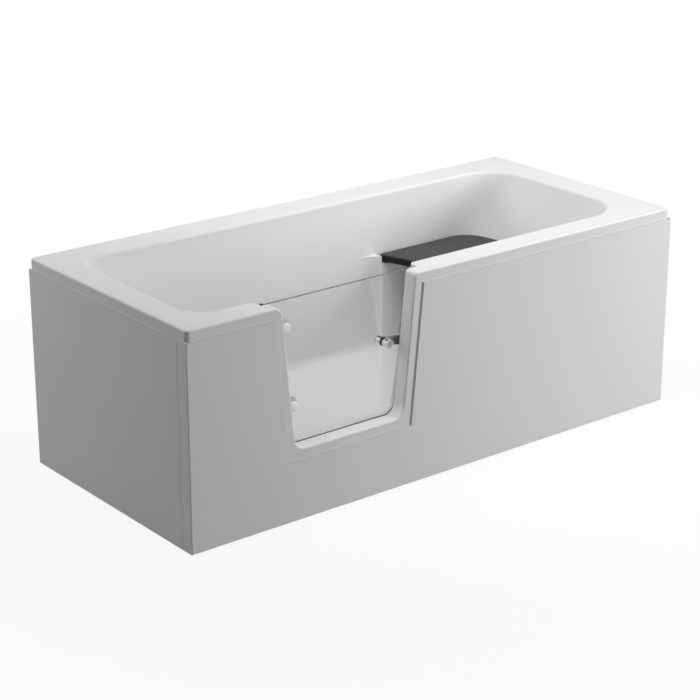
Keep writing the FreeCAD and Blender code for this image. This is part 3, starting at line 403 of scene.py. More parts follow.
# Cradle
# Square steel tubes, cut, welded and hot-dip galvanised: two rails, five cross members and six posts that
# reach up under the rim. Black plugs close the rails' ends, and rippled weld beads show at the joints.

sharp_angle = math.radians(35.0)
same_point = 1e-6
# A face looks along an axis where that part of its normal is more than this.
mostly = 0.9


def alone(piece):
    """Select one piece and make it the active one."""
    bpy.ops.object.select_all(action="DESELECT")
    piece.select_set(True)
    bpy.context.view_layer.objects.active = piece


def mark_faces(piece, chosen):
    """In edit mode, select the faces whose middle and normal pass a test."""
    bpy.ops.mesh.select_mode(type="FACE")
    bpy.ops.mesh.select_all(action="DESELECT")
    shape = bmesh.from_edit_mesh(piece.data)
    for face in shape.faces:
        face.select_set(bool(chosen(face.calc_center_median(), face.normal)))
    bmesh.update_edit_mesh(piece.data)


def block(name, size, place):
    """Block of a size round a place, in edit mode, to be shaped further."""
    bpy.ops.object.select_all(action="DESELECT")
    bpy.ops.mesh.primitive_cube_add(size=1.0, location=place, scale=size)
    piece = bpy.context.object
    piece.name = name
    bpy.ops.object.transform_apply(location=True, rotation=True, scale=True)
    bpy.ops.object.mode_set(mode="EDIT")
    return piece


def soften(piece, width):
    """Round a piece's edges and smooth its curved faces."""
    alone(piece)
    edge = piece.modifiers.new("edge_round", "BEVEL")
    edge.width = width
    edge.segments = 2
    edge.limit_method = "ANGLE"
    edge.angle_limit = sharp_angle
    bpy.ops.object.modifier_apply(modifier=edge.name)
    bpy.ops.object.shade_smooth_by_angle(angle=sharp_angle)


def copy_of(piece, name, place=(0.0, 0.0, 0.0), turn=(0.0, 0.0, 0.0)):
    """Copy with its own mesh, moved and turned from where the piece was modelled."""
    alone(piece)
    bpy.ops.object.duplicate(linked=False)
    twin = bpy.context.object
    twin.name = name
    twin.location = place
    twin.rotation_euler = turn
    return twin


def joined(name, pieces):
    """Several shapes as one piece."""
    alone(pieces[0])
    for piece in pieces:
        piece.select_set(True)
    bpy.ops.object.join()
    whole = bpy.context.object
    whole.name = name
    return whole


def settle(piece, body, slot, *finishes):
    """Put a piece's place into its mesh, give it its finishes and let it ride on a body."""
    alone(piece)
    bpy.ops.object.transform_apply(location=True, rotation=True, scale=True)
    for material in finishes:
        piece.data.materials.append(material)
    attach(piece, body)


def drawn(name, profile):
    """Line through points (radius, height) in the XZ plane, in edit mode."""
    bpy.ops.object.select_all(action="DESELECT")
    bpy.ops.mesh.primitive_plane_add(size=0.001)
    piece = bpy.context.object
    piece.name = name
    bpy.ops.object.mode_set(mode="EDIT")
    bpy.ops.mesh.select_mode(type="VERT")
    bpy.ops.mesh.select_all(action="SELECT")
    bpy.ops.mesh.merge(type="CENTER")
    points = [Vector((radius, 0.0, height)) for radius, height in profile]
    bpy.ops.transform.translate(value=points[0])
    for here, there in zip(points, points[1:]):
        bpy.ops.mesh.extrude_region_move(TRANSFORM_OT_translate={"value": there - here})
    return piece


def turned(name, profile, steps):
    """Lathe-turned piece about +Z, from a profile of points (radius, height)."""
    piece = drawn(name, profile)
    bpy.ops.mesh.select_all(action="SELECT")
    bpy.ops.mesh.spin(steps=steps, angle=math.tau, center=(0.0, 0.0, 0.0), axis=(0.0, 0.0, 1.0))
    bpy.ops.mesh.select_all(action="SELECT")
    bpy.ops.mesh.remove_doubles(threshold=same_point)
    bpy.ops.mesh.normals_make_consistent(inside=False)
    bpy.ops.object.mode_set(mode="OBJECT")
    bpy.ops.object.shade_smooth_by_angle(angle=sharp_angle)
    return piece


galvanised, place, shader = finish("galvanised_steel", {"Metallic": 1.0})
cells = place.node("TexVoronoi", sockets={"Vector": place, "Scale": 110.0}, output="Color")
spangle = place.node("SeparateColor", sockets={"Color": cells}, output="Red")
stain = rise(grain(place, 14.0, 5.0, 0.6), 0.5, 0.72)
feed(shader, {
    "Base Color": blend(stain * 0.5, blend(spangle, grey(0.40), grey(0.58)), (0.36, 0.36, 0.37, 1.0)),
    "Roughness": spangle * 0.2 + stain * 0.15 + 0.3,
    "Normal": relief(grain(place, 220.0, 2.0), 0.00015),
})
frame_tubes = [name for name in nodes if name.startswith("frame_")]
dress(galvanised, *frame_tubes)

bead_length = 0.026
bead_radius = 0.0024
bead_hollow = 0.8
bead_ripples = 9
bead_steps = 2 * bead_ripples
rippled_length = bead_length * 0.95
bead_profile = [(0.0, -bead_length / 2)]
for step in range(bead_steps + 1):
    swell = 1.0 if step % 2 else bead_hollow
    bead_profile.append((bead_radius * swell, (step / bead_steps - 0.5) * rippled_length))
bead_profile.append((0.0, bead_length / 2))
bead = turned("weld_bead", bead_profile, steps=8)
lengthwise = (0.0, math.pi / 2, 0.0)
crosswise = (math.pi / 2, 0.0, 0.0)
upright = (0.0, 0.0, 0.0)
beads = []
for name in frame_tubes:
    low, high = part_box(name)
    middle = (low + high) / 2
    seams = []
    if "post" in name:
        seams += [((side, middle.y, low.z), crosswise) for side in (low.x, high.x)]
        seams += [((middle.x, side, low.z), lengthwise) for side in (low.y, high.y)]
    if "cross" in name:
        seams += [((x, y, middle.z), upright) for x in (low.x, high.x) for y in (low.y, high.y)]
    for seam, way in seams:
        beads.append(copy_of(bead, "weld_bead", seam, way))
bpy.data.objects.remove(bead)
welds = joined("weld_beads", beads)
settle(welds, "tub", "frame_steel", galvanised)

foot_plastic, place, shader = finish("black_moulded_plastic", {"IOR": 1.5})
scuff = rise(grain(place, 70.0, 5.0, 0.65), 0.55, 0.8)
feed(shader, {
    "Base Color": blend(scuff, grey(0.018), grey(0.05)),
    "Roughness": scuff * 0.25 + 0.45,
    "Normal": relief(grain(place, 900.0, 1.0), 0.00008),
})
end_plug_head = 0.0035
end_plug_crown = 0.0012
end_plug_border = 0.0045
end_plug_shank = 0.018
end_plug_fit = 0.0022
end_plug_round = 0.0007
rail_low, rail_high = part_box("frame_rail_front")
rail_size = rail_high.z - rail_low.z
rail_plug = block("rail_plug", (end_plug_head, rail_size, rail_size), (end_plug_head / 2, 0.0, 0.0))
mark_faces(rail_plug, lambda middle, normal: normal.x > mostly)
bpy.ops.mesh.inset(thickness=end_plug_border)
bpy.ops.transform.translate(value=(end_plug_crown, 0.0, 0.0))
mark_faces(rail_plug, lambda middle, normal: normal.x < -mostly)
bpy.ops.mesh.inset(thickness=end_plug_fit)
bpy.ops.mesh.extrude_region_move(TRANSFORM_OT_translate={"value": (-end_plug_shank, 0.0, 0.0)})
bpy.ops.object.mode_set(mode="OBJECT")
soften(rail_plug, end_plug_round)
for rail in ("frame_rail_front", "frame_rail_back"):
    low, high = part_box(rail)
    middle = (low + high) / 2
    for side, end, turn in (("left", low.x, math.pi), ("right", high.x, 0.0)):
        rail_end = (end, middle.y, middle.z)
        end_plug = copy_of(rail_plug, "%s_plug_%s" % (rail, side), rail_end, (0.0, 0.0, turn))
        settle(end_plug, "tub", "foot_black", foot_plastic)
bpy.data.objects.remove(rail_plug)


# Levelling feet
# Moulded black pads with stiffening ribs on threaded studs. A hexagon nut below and one above the rail set
# the height and lock it.


def combine(piece, operation, tool):
    """Add another shape to a piece, cut it out or keep what both hold; the other shape is used up."""
    alone(piece)
    change = piece.modifiers.new("combine", "BOOLEAN")
    change.operation = operation
    change.solver = "EXACT"
    change.object = tool
    bpy.ops.object.modifier_apply(modifier=change.name)
    bpy.data.objects.remove(tool)
    bpy.ops.object.shade_smooth_by_angle(angle=sharp_angle)


foot_count = 6
pad_names = ["foot_pad_%d" % (number + 1) for number in range(foot_count)]
pad_low, pad_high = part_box(pad_names[0])
pad_radius = (pad_high.x - pad_low.x) / 2
pad_height = pad_high.z
neck_radius = 0.014
neck_fillet = 0.0015
pad_flange = 0.0045
pad_edge = 0.001
pad_tread = 0.0065
tread_edge = 0.0008
sole_hollow = 0.0015
pad_profile = [
    (0.0, sole_hollow),
    (pad_radius - pad_tread - sole_hollow, sole_hollow),
    (pad_radius - pad_tread, 0.0),
    (pad_radius - tread_edge, 0.0),
    (pad_radius, tread_edge),
    (pad_radius, pad_flange - pad_edge),
    (pad_radius - pad_edge, pad_flange),
    (neck_radius + neck_fillet, pad_flange + pad_edge),
    (neck_radius, pad_flange + pad_edge + neck_fillet),
    (neck_radius, pad_height - pad_edge),
    (neck_radius - pad_edge, pad_height),
    (0.0, pad_height),
]
pad = turned("foot_pad", pad_profile, steps=48)
rib_count = 8
rib_thickness = 0.0024
rib_sunk = 0.002
rib_set_back = 0.0015
rib_drop = 0.0025
rib_taper = (1.0, 0.7, 0.3)
rib_in = neck_radius - rib_sunk
rib_out = pad_radius - rib_set_back
rib_top = pad_height - rib_drop
rib_foot = pad_flange - rib_sunk
rib_size = (rib_out - rib_in, rib_thickness, rib_top - rib_foot)
rib = block("pad_rib", rib_size, ((rib_in + rib_out) / 2, 0.0, (rib_top + rib_foot) / 2))
mark_faces(rib, lambda middle, normal: normal.x > mostly)
bpy.ops.transform.resize(value=rib_taper, center_override=(rib_out, 0.0, rib_foot))
bpy.ops.object.mode_set(mode="OBJECT")
ribs = [rib]
for number in range(1, rib_count):
    ribs.append(copy_of(rib, "pad_rib", turn=(0.0, 0.0, number * math.tau / rib_count)))
combine(pad, "UNION", joined("pad_ribs", ribs))
foot_places = []
for name in pad_names:
    low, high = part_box(name)
    centre = ((low.x + high.x) / 2, (low.y + high.y) / 2, 0.0)
    foot_places.append(centre)
    foot = copy_of(pad, name.replace("foot_pad", "ribbed_foot"), centre)
    settle(foot, "tub", "foot_black", foot_plastic)
    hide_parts(name)
bpy.data.objects.remove(pad)

zinc, place, shader = finish("zinc_plated_steel", {"Metallic": 1.0})
haze = grain(place, 120.0, 3.0)
feed(shader, {
    "Base Color": blend(haze, (0.52, 0.52, 0.50, 1.0), (0.70, 0.69, 0.64, 1.0)),
    "Roughness": haze * 0.2 + 0.25,
})
stud_low, stud_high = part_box("foot_studs")
thread_pitch = 0.00175
thread_crest = 0.006
thread_root = 0.0050
crest_start = thread_pitch * 0.44
crest_end = thread_pitch * 0.56
thread_run_in = 1.5 * thread_pitch
thread_steps = 16
spare_turns = 2
thread_smooth_angle = math.radians(25.0)
thread_turns = math.ceil((stud_high.z - stud_low.z) / thread_pitch) + spare_turns
stud = drawn("foot_stud", [
    (thread_root, 0.0),
    (thread_crest, crest_start),
    (thread_crest, crest_end),
    (thread_root, thread_pitch),
])
bpy.ops.object.mode_set(mode="OBJECT")
winding = stud.modifiers.new("winding", "SCREW")
winding.axis = "Z"
winding.screw_offset = thread_pitch
winding.iterations = thread_turns
winding.steps = thread_steps
winding.render_steps = thread_steps
bpy.ops.object.modifier_apply(modifier=winding.name)
bpy.ops.object.mode_set(mode="EDIT")
bpy.ops.mesh.select_all(action="SELECT")
bpy.ops.mesh.remove_doubles(threshold=same_point)
bpy.ops.transform.translate(value=(0.0, 0.0, stud_low.z - thread_run_in))
for cut, way in ((stud_low.z, (0.0, 0.0, -1.0)), (stud_high.z, (0.0, 0.0, 1.0))):
    bpy.ops.mesh.select_all(action="SELECT")
    bpy.ops.mesh.bisect(plane_co=(0.0, 0.0, cut), plane_no=way, use_fill=True, clear_outer=True)
bpy.ops.mesh.select_all(action="SELECT")
bpy.ops.mesh.normals_make_consistent(inside=False)
bpy.ops.object.mode_set(mode="OBJECT")
bpy.ops.object.shade_smooth_by_angle(angle=thread_smooth_angle)
studs = [copy_of(stud, "foot_stud", centre) for centre in foot_places]
bpy.data.objects.remove(stud)
threaded_studs = joined("threaded_studs", studs)
settle(threaded_studs, "tub", "zinc_steel", zinc)
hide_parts("foot_studs")

nut_across = 0.019
nut_height = 0.010
nut_chamfer = 0.0011
nut_corner = nut_across / math.sqrt(3.0)
nut_half = nut_height / 2
nut_flat = nut_across / 2 - nut_chamfer
past_face = nut_chamfer * 0.02
past_corner = nut_chamfer * 0.3
nut_turn = (0.0, 0.0, math.pi / 6)
bpy.ops.object.select_all(action="DESELECT")
bpy.ops.mesh.primitive_cylinder_add(vertices=6, radius=nut_corner, depth=nut_height, rotation=nut_turn)
nut = bpy.context.object
nut.name = "hexagon_nut"
bpy.ops.object.transform_apply(location=True, rotation=True, scale=True)
nut_round = turned("nut_round", [
    (0.0, -nut_half - nut_chamfer),
    (nut_flat, -nut_half - past_face),
    (nut_corner + past_corner, -nut_half + nut_chamfer),
    (nut_corner + past_corner, nut_half - nut_chamfer),
    (nut_flat, nut_half + past_face),
    (0.0, nut_half + nut_chamfer),
], steps=48)
combine(nut, "INTERSECT", nut_round)
nut_bore = turned("nut_bore", [
    (0.0, -nut_height),
    (thread_root, -nut_height),
    (thread_root, nut_height),
    (0.0, nut_height),
], steps=32)
combine(nut, "DIFFERENCE", nut_bore)
nuts = []
for x, y, _ in foot_places:
    for height in (rail_low.z - nut_half, rail_high.z + nut_half):
        nuts.append(copy_of(nut, "hexagon_nut", (x, y, height)))
bpy.data.objects.remove(nut)
lock_nuts = joined("lock_nuts", nuts)
settle(lock_nuts, "tub", "zinc_steel", zinc)
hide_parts("foot_nuts")


# Waste and overflow
# White plastic cup, bottle trap and overflow pipe under the tub, with ribbed grips on the trap's unions.
# Chromed flange, plug and overflow cover inside it, and rubber gaskets between them and the shell.

waste_plastic, place, shader = finish("white_waste_plastic", {"IOR": 1.49})
flow = grain(place, 18.0, 3.0)
feed(shader, {
    "Base Color": blend(flow, (0.74, 0.74, 0.72, 1.0), (0.82, 0.82, 0.80, 1.0)),
    "Roughness": flow * 0.15 + 0.32,
    "Normal": relief(grain(place, 500.0, 1.0), 0.00006),
})
dress(waste_plastic, "drain_cup", "waste_trap", "waste_outlet", "overflow_body", "overflow_pipe")


def grip_ring(name, collar, depth, ribs, place, turn):
    """Ribbed ring that a hand can turn, round a collar of a radius."""
    fit = 0.0002
    wall = 0.0012
    rib_height = 0.0011
    rib_gap = 0.0006
    bore = collar + fit
    profile = [(bore, -depth / 2), (bore + wall, -depth / 2), (bore + wall, depth / 2), (bore, depth / 2)]
    ring = turned(name, profile + profile[:1], steps=ribs)
    alone(ring)
    bpy.ops.object.mode_set(mode="EDIT")
    mark_faces(ring, lambda middle, normal: middle.xy.length > bore + wall / 2 and abs(normal.z) < mostly)
    bpy.ops.mesh.inset(thickness=rib_gap, depth=rib_height, use_individual=True)
    bpy.ops.object.mode_set(mode="OBJECT")
    ring.location = place
    ring.rotation_euler = turn
    settle(ring, "tub", "waste_plastic", waste_plastic)


trap_low, trap_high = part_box("waste_trap")
outlet_low, outlet_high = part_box("waste_outlet")
trap_collar = (trap_high.x - trap_low.x) / 2
trap_x = (trap_low.x + trap_high.x) / 2
outlet_collar = (outlet_high.x - outlet_low.x) / 2
outlet_z = (outlet_low.z + outlet_high.z) / 2
trap_front_to_axis = 0.056
collar_z = 0.099
collar_y = 0.310
trap_grip_place = (trap_x, trap_low.y + trap_front_to_axis, collar_z)
outlet_grip_place = (trap_x, collar_y, outlet_z)
grip_ring("trap_grip", trap_collar, depth=0.012, ribs=40, place=trap_grip_place, turn=upright)
grip_ring("outlet_grip", outlet_collar, depth=0.009, ribs=24, place=outlet_grip_place, turn=crosswise)

chrome, place, shader = finish("polished_chrome", {"Metallic": 1.0})
smear = grain(place, 35.0, 3.0)
feed(shader, {
    "Base Color": blend(smear, grey(0.72), grey(0.78)),
    "Roughness": smear * 0.06 + 0.03,
})
dress(chrome, "drain_flange", "overflow_cover")

plug_low, plug_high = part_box("drain_plug")
plug_radius = (plug_high.x - plug_low.x) / 2
drain_flange = 0.003
plug_gap = 0.0003
plug_rim = basin_floor + drain_flange + plug_gap
plug_stem = 0.004
plug_lower_edge = 0.0012
plug_side_top = 0.0028
plug_upper_edge = 0.0014
plug_shoulder = 0.0044
groove_radius = plug_radius - 0.0088
groove_half = 0.0008
groove_outer_drop = 0.0014
groove_drop = 0.0020
groove_inner_drop = 0.0011
crown_radius = plug_radius * 0.36
crown_drop = 0.0002
plug_cap = turned("domed_plug", [
    (0.0, plug_low.z),
    (plug_stem, plug_low.z),
    (plug_stem, plug_rim),
    (plug_radius - plug_lower_edge, plug_rim),
    (plug_radius, plug_rim + plug_lower_edge),
    (plug_radius, plug_rim + plug_side_top),
    (plug_radius - plug_upper_edge, plug_rim + plug_shoulder),
    (groove_radius + groove_half, plug_high.z - groove_outer_drop),
    (groove_radius, plug_high.z - groove_drop),
    (groove_radius - groove_half, plug_high.z - groove_inner_drop),
    (crown_radius, plug_high.z - crown_drop),
    (0.0, plug_high.z),
], steps=64)
plug_cap.location = ((plug_low.x + plug_high.x) / 2, (plug_low.y + plug_high.y) / 2, 0.0)
settle(plug_cap, "plug", "chrome", chrome)
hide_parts("drain_plug")

rubber, place, shader = finish("black_rubber", {"IOR": 1.52})
bloom = grain(place, 90.0, 4.0)
feed(shader, {
    "Base Color": blend(bloom, grey(0.012), grey(0.03)),
    "Roughness": bloom * 0.2 + 0.5,
})
dress(rubber, "drain_gasket", "overflow_gasket")


# Door seal
# An extruded black rubber lip, bent to the doorway's U and glued to the stop that the glass closes on. A
# moulded end piece finishes it beside the top of the glass on the hinge side.


def mark_points(piece, chosen):
    """In edit mode, select the points that pass a test."""
    bpy.ops.mesh.select_mode(type="VERT")
    bpy.ops.mesh.select_all(action="DESELECT")
    shape = bmesh.from_edit_mesh(piece.data)
    for point in shape.verts:
        point.select_set(bool(chosen(point.co)))
    shape.select_flush_mode()
    bmesh.update_edit_mesh(piece.data)


def pulled_sheet(name, corners, front):
    """Four-cornered sheet in a plane of constant Y, in edit mode; corners are (x, z), lower left first."""
    bpy.ops.object.select_all(action="DESELECT")
    bpy.ops.mesh.primitive_plane_add(size=2.0, rotation=(math.pi / 2, 0.0, 0.0))
    piece = bpy.context.object
    piece.name = name
    bpy.ops.object.transform_apply(location=True, rotation=True, scale=True)
    bpy.ops.object.mode_set(mode="EDIT")
    for start, (x, z) in zip(((-1, -1), (1, -1), (1, 1), (-1, 1)), corners):
        start = Vector((start[0], 0.0, start[1]))
        mark_points(piece, lambda point: (point - start).length < 0.01)
        bpy.ops.transform.translate(value=Vector((x, front, z)) - start)
    return piece


def door_plate(name, overlaps, radius, top, front, back):
    """Plate that follows the doorway, with round lower corners; it overlaps at left, right and bottom."""
    left_over, right_over, bottom_over = overlaps
    low = sill - bottom_over
    corners = []
    for z, side in ((low, -1), (low, 1), (top, 1), (top, -1)):
        over = (left_over if side < 0 else right_over) / math.cos(door_angle)
        corners.append((door_middle + side * (sill_half + (z - sill) * door_lean + over), z))
    piece = pulled_sheet(name, corners, front)
    mark_points(piece, lambda point: point.z < (low + top) / 2)
    tangent = radius / math.tan((math.pi / 2 + door_angle) / 2)
    bpy.ops.mesh.bevel(offset=tangent, offset_type="OFFSET", segments=14, affect="VERTICES")
    bpy.ops.mesh.select_all(action="SELECT")
    bpy.ops.mesh.extrude_region_move(TRANSFORM_OT_translate={"value": (0.0, back - front, 0.0)})
    bpy.ops.mesh.select_all(action="SELECT")
    bpy.ops.mesh.normals_make_consistent(inside=False)
    bpy.ops.object.mode_set(mode="OBJECT")
    return piece


seal_low, seal_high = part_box("door_seal")
glass_low, glass_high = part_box("door_glass")
glass_over = (0.020, 0.012, 0.012)
glass_radius = 0.047
seal_hidden = 0.010
seal_shows = 0.0015
seal_set_back = 0.0018
seal_inside_glass = 0.008
seal_below_top = 0.028
seal_round = 0.0009
cut_past = 0.01
seal_top = seal_high.z - seal_below_top
seal_over = (glass_over[0] - seal_inside_glass, seal_hidden, seal_hidden)
seal_lip = (-seal_shows, seal_set_back, -seal_shows)
seal = door_plate("seal_lip", seal_over, glass_radius, seal_top, seal_low.y, seal_high.y)
cut_top = seal_high.z + 2 * cut_past
cut_front = seal_low.y - cut_past
cut_back = seal_high.y + cut_past
seal_space = door_plate("seal_space", seal_lip, glass_radius - seal_hidden, cut_top, cut_front, cut_back)
combine(seal, "DIFFERENCE", seal_space)
soften(seal, seal_round)
settle(seal, "tub", "seal_rubber", rubber)
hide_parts("door_seal")

end_width = 0.0065
end_height = 0.016
end_depth = 0.014
end_gap = 0.0025
end_forward = 0.003
end_wall = 0.0015
end_hollow = 0.0008
end_round = 0.0006
seal_end_place = (
    glass_low.x - end_gap - end_width / 2,
    glass_low.y + end_depth / 2 - end_forward,
    rim_top - end_height / 2,
)
seal_end = block("seal_end", (end_width, end_depth, end_height), seal_end_place)
mark_faces(seal_end, lambda middle, normal: normal.z > mostly)
bpy.ops.mesh.inset(thickness=end_wall)
bpy.ops.mesh.extrude_region_move(TRANSFORM_OT_translate={"value": (0.0, 0.0, -end_hollow)})
bpy.ops.object.mode_set(mode="OBJECT")
soften(seal_end, end_round)
settle(seal_end, "tub", "seal_rubber", rubber)


# Strike profile
# An extruded grey plastic strip in the latch-side reveal, with fine lines along it from the die. It is
# glued to the stop and closes the gap beside the glass.

profile_cell = (0.0011, 0.0011, 0.16)
profile, place, shader = finish("grey_profile_plastic", {"IOR": 1.5})
line = grain(stretched(place, profile_cell), 1.0)
feed(shader, {
    "Base Color": blend(line, grey(0.30), grey(0.36)),
    "Roughness": line * 0.12 + 0.36,
})
dress(profile, "strike_profile")


# Hinges
# Stainless leaves and pins, brushed lengthwise, on pale silicone pads. Glossy white nylon caps cover the
# bolts on the outside of the glass, domed so that they catch the light.

brush_cell = (0.04, 0.0007, 0.0007)
hinge_steel, place, shader = finish("brushed_stainless", {"Metallic": 1.0})
stroke = grain(stretched(place, brush_cell), 1.0, 3.0)
feed(shader, {
    "Base Color": blend(stroke, grey(0.50), grey(0.64)),
    "Roughness": stroke * 0.2 + 0.22,
    "Normal": relief(stroke, 0.00003),
})
hinge_ends = ("upper", "lower")
for part in ("hinge_pin_%s", "hinge_tub_leaf_%s", "hinge_glass_leaf_%s"):
    dress(hinge_steel, *[part % end for end in hinge_ends])
dress(hinge_steel, "hinge_screws", "keeper_screws")

silicone, place, shader = finish("pale_silicone", {"IOR": 1.41})
milk = grain(place, 80.0, 3.0)
feed(shader, {
    "Base Color": blend(milk, grey(0.82), grey(0.88)),
    "Roughness": milk * 0.15 + 0.4,
})
dress(silicone, "hinge_pads")

cap_gloss = {"IOR": 1.52, "Coat Weight": 1.0, "Coat Roughness": 0.06}
cap_nylon, place, shader = finish("white_cap_nylon", cap_gloss)
tone = grain(place, 60.0)
feed(shader, {
    "Base Color": blend(tone, grey(0.93), grey(0.97)),
    "Roughness": tone * 0.1 + 0.25,
})
outwards = (math.pi / 2, 0.0, 0.0)
inwards = (-math.pi / 2, 0.0, 0.0)
cap_low, cap_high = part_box("hinge_cap_upper")
cap_radius = (cap_high.x - cap_low.x) / 2
hinge_pad = 0.001
cap_seat = glass_low.y - hinge_pad
cap_height = cap_seat - cap_low.y
cap_stud = 0.0049
cap_stud_end = cap_seat - cap_high.y
cap_foot = 0.0008
cap_foot_top = 0.0011
cap_edge = 0.0026
cap_dome = cap_height - cap_edge
dome_step = 10
cap_profile = [
    (0.0, cap_stud_end),
    (cap_stud, cap_stud_end),
    (cap_stud, 0.0),
    (cap_radius - cap_foot, 0.0),
    (cap_radius - cap_foot, cap_foot),
    (cap_radius, cap_foot_top),
]
for degrees in range(0, 90, dome_step):
    angle = math.radians(degrees)
    cap_profile.append((cap_radius * math.cos(angle), cap_edge + cap_dome * math.sin(angle)))
cap_profile.append((0.0, cap_height))
cap = turned("hinge_cap", cap_profile, steps=48)
cap_places = []
for end in hinge_ends:
    low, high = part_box("hinge_cap_" + end)
    centre = ((low.x + high.x) / 2, cap_seat, (low.z + high.z) / 2)
    cap_places.append(centre)
    cover = copy_of(cap, "cap_cover_" + end, centre, outwards)
    settle(cover, "door", "cap_white", cap_nylon)
    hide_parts("hinge_cap_" + end)
bpy.data.objects.remove(cap)


# Door pane
# One clear pane of 8 mm toughened glass, drilled for the hinges and the latch. Its edges are ground and
# polished with a small arris, and look dark because they show the depth of the glass.


def second_finish(piece, chosen):
    """Give the faces that pass a test the piece's second finish."""
    alone(piece)
    bpy.ops.object.mode_set(mode="EDIT")
    mark_faces(piece, chosen)
    piece.active_material_index = 1
    bpy.ops.object.material_slot_assign()
    bpy.ops.object.mode_set(mode="OBJECT")


glass_tint = (0.945, 0.951, 0.949, 1.0)
mirror_face_on = 0.04
clear_glass = bpy.data.materials.new("clear_toughened_glass")
clear_glass.use_nodes = True
glass_start = Shade(clear_glass.node_tree)
glass_clear = glass_start.node("BsdfTransparent", sockets={"Color": glass_tint})
glass_gloss = glass_start.node("BsdfGlossy", sockets={"Color": grey(1.0), "Roughness": 0.02})
glass_slant = glass_start.node("LayerWeight", sockets={"Blend": 0.5}, output="Facing")
glass_mirror = glass_slant ** 5.0 * (1.0 - mirror_face_on) + mirror_face_on
glass_mix = glass_start.node("MixShader", sockets={0: glass_mirror, 1: glass_clear, 2: glass_gloss})
glass_end = clear_glass.node_tree.nodes["Material Output"]
clear_glass.node_tree.links.new(glass_mix.socket, glass_end.inputs["Surface"])

glass_edge, place, shader = finish("dark_glass_edge", {"IOR": 1.52, "Specular IOR Level": 0.3})
depth_tone = grain(place, 40.0)
feed(shader, {
    "Base Color": blend(depth_tone, (0.062, 0.072, 0.069, 1.0), (0.088, 0.100, 0.096, 1.0)),
    "Roughness": depth_tone * 0.1 + 0.15,
})

latch_low, latch_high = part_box("latch_bush")
latch_x = (latch_low.x + latch_high.x) / 2
latch_z = (latch_low.z + latch_high.z) / 2
glass_depth = glass_high.y - glass_low.y
glass_arris = 0.0007
hinge_hole = 0.006
latch_hole = 0.007
pane = door_plate("door_pane", glass_over, glass_radius, glass_high.z, glass_low.y, glass_high.y)
holes = [(x, z, hinge_hole) for x, _, z in cap_places] + [(latch_x, latch_z, latch_hole)]
for x, z, radius in holes:
    drill = turned("glass_drill", [
        (0.0, -glass_depth),
        (radius, -glass_depth),
        (radius, 2 * glass_depth),
        (0.0, 2 * glass_depth),
    ], steps=32)
    drill.location = (x, glass_high.y, z)
    drill.rotation_euler = outwards
    combine(pane, "DIFFERENCE", drill)
soften(pane, glass_arris)
settle(pane, "door", "door_glass", clear_glass, glass_edge)
second_finish(pane, lambda middle, normal: abs(normal.y) < mostly)
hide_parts("door_glass")


# Latch
# Turned chrome knobs on a spindle through the glass, each with a satin disc let into its end. A smoked
# chrome paddle with polished edges swings behind the keeper on the jamb.

dress(chrome, "latch_spindle", "latch_keeper", "latch_bush")
dress(rubber, "latch_washer")

satin, place, shader = finish("satin_chrome", {"Metallic": 1.0})
lathe_mark = grain(place, 600.0, 2.0)
feed(shader, {
    "Base Color": blend(lathe_mark, grey(0.26), grey(0.34)),
    "Roughness": lathe_mark * 0.15 + 0.3,
})


waist_depth = 0.0018
waist_flare = 0.0014
groove_start = 0.0062
groove_end = 0.0038
groove_depth = 0.0022
groove_slope = 0.0006
end_edge = 0.0012
end_edge_in = 0.0008
disc_rim = 0.0014
disc_finish = 0.0016
disc_edge = 0.0017
disc_sunk = 0.0005


def knob(name, node, mouth, length, way, waist):
    """Turned knob with a waist at its mouth, a groove near its end and a disc sunk in that end."""
    low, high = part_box(node)
    radius = (high.x - low.x) / 2
    piece = turned(name, [
        (0.0, 0.0),
        (radius - waist_depth, 0.0),
        (radius - waist_depth, waist),
        (radius, waist + waist_flare),
        (radius, length - groove_start),
        (radius - groove_depth, length - groove_start + groove_slope),
        (radius - groove_depth, length - groove_end - groove_slope),
        (radius, length - groove_end),
        (radius, length - end_edge),
        (radius - end_edge_in, length),
        (radius - disc_rim, length),
        (radius - disc_edge, length - disc_sunk),
        (0.0, length - disc_sunk),
    ], steps=48)
    piece.location = (latch_x, mouth, latch_z)
    piece.rotation_euler = way
    settle(piece, "latch", "chrome", chrome, satin)
    end = mouth + length if way == inwards else mouth - length
    disc = radius - disc_finish
    second_finish(piece, lambda middle, normal: (
        abs(middle.y - end) < 2 * disc_sunk and math.hypot(middle.x - latch_x, middle.z - latch_z) < disc
    ))
    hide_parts(node)


outer_low, outer_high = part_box("latch_knob_outer")
inner_low, inner_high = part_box("latch_knob_inner")
knob("outer_knob", "latch_knob_outer", outer_high.y, outer_high.y - outer_low.y, outwards, waist=0.003)
knob("inner_knob", "latch_knob_inner", inner_low.y, inner_high.y - inner_low.y, inwards, waist=0.002)

smoked, place, shader = finish("smoked_chrome", {"Metallic": 0.35})
smear = grain(place, 50.0, 3.0)
feed(shader, {
    "Base Color": blend(smear, grey(0.64), grey(0.72)),
    "Roughness": smear * 0.1 + 0.25,
})
paddle_low, paddle_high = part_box("latch_paddle")
paddle_depth = paddle_high.y - paddle_low.y
paddle_hub = 0.013
paddle_root = paddle_hub - 0.0003
paddle_reach = 0.078
paddle_tip_angles = (-18.0, 2.0)
paddle_tip_round = 0.003
paddle_edge_round = 0.001
paddle_tips = []
for degrees in paddle_tip_angles:
    angle = math.radians(degrees)
    paddle_tips.append((latch_x + paddle_reach * math.cos(angle), latch_z + paddle_reach * math.sin(angle)))
lower_root = (latch_x, latch_z - paddle_root)
upper_root = (latch_x, latch_z + paddle_root)
paddle = pulled_sheet("dark_paddle", [lower_root, *paddle_tips, upper_root], paddle_low.y)
mark_points(paddle, lambda point: point.x > latch_x + paddle_reach / 2)
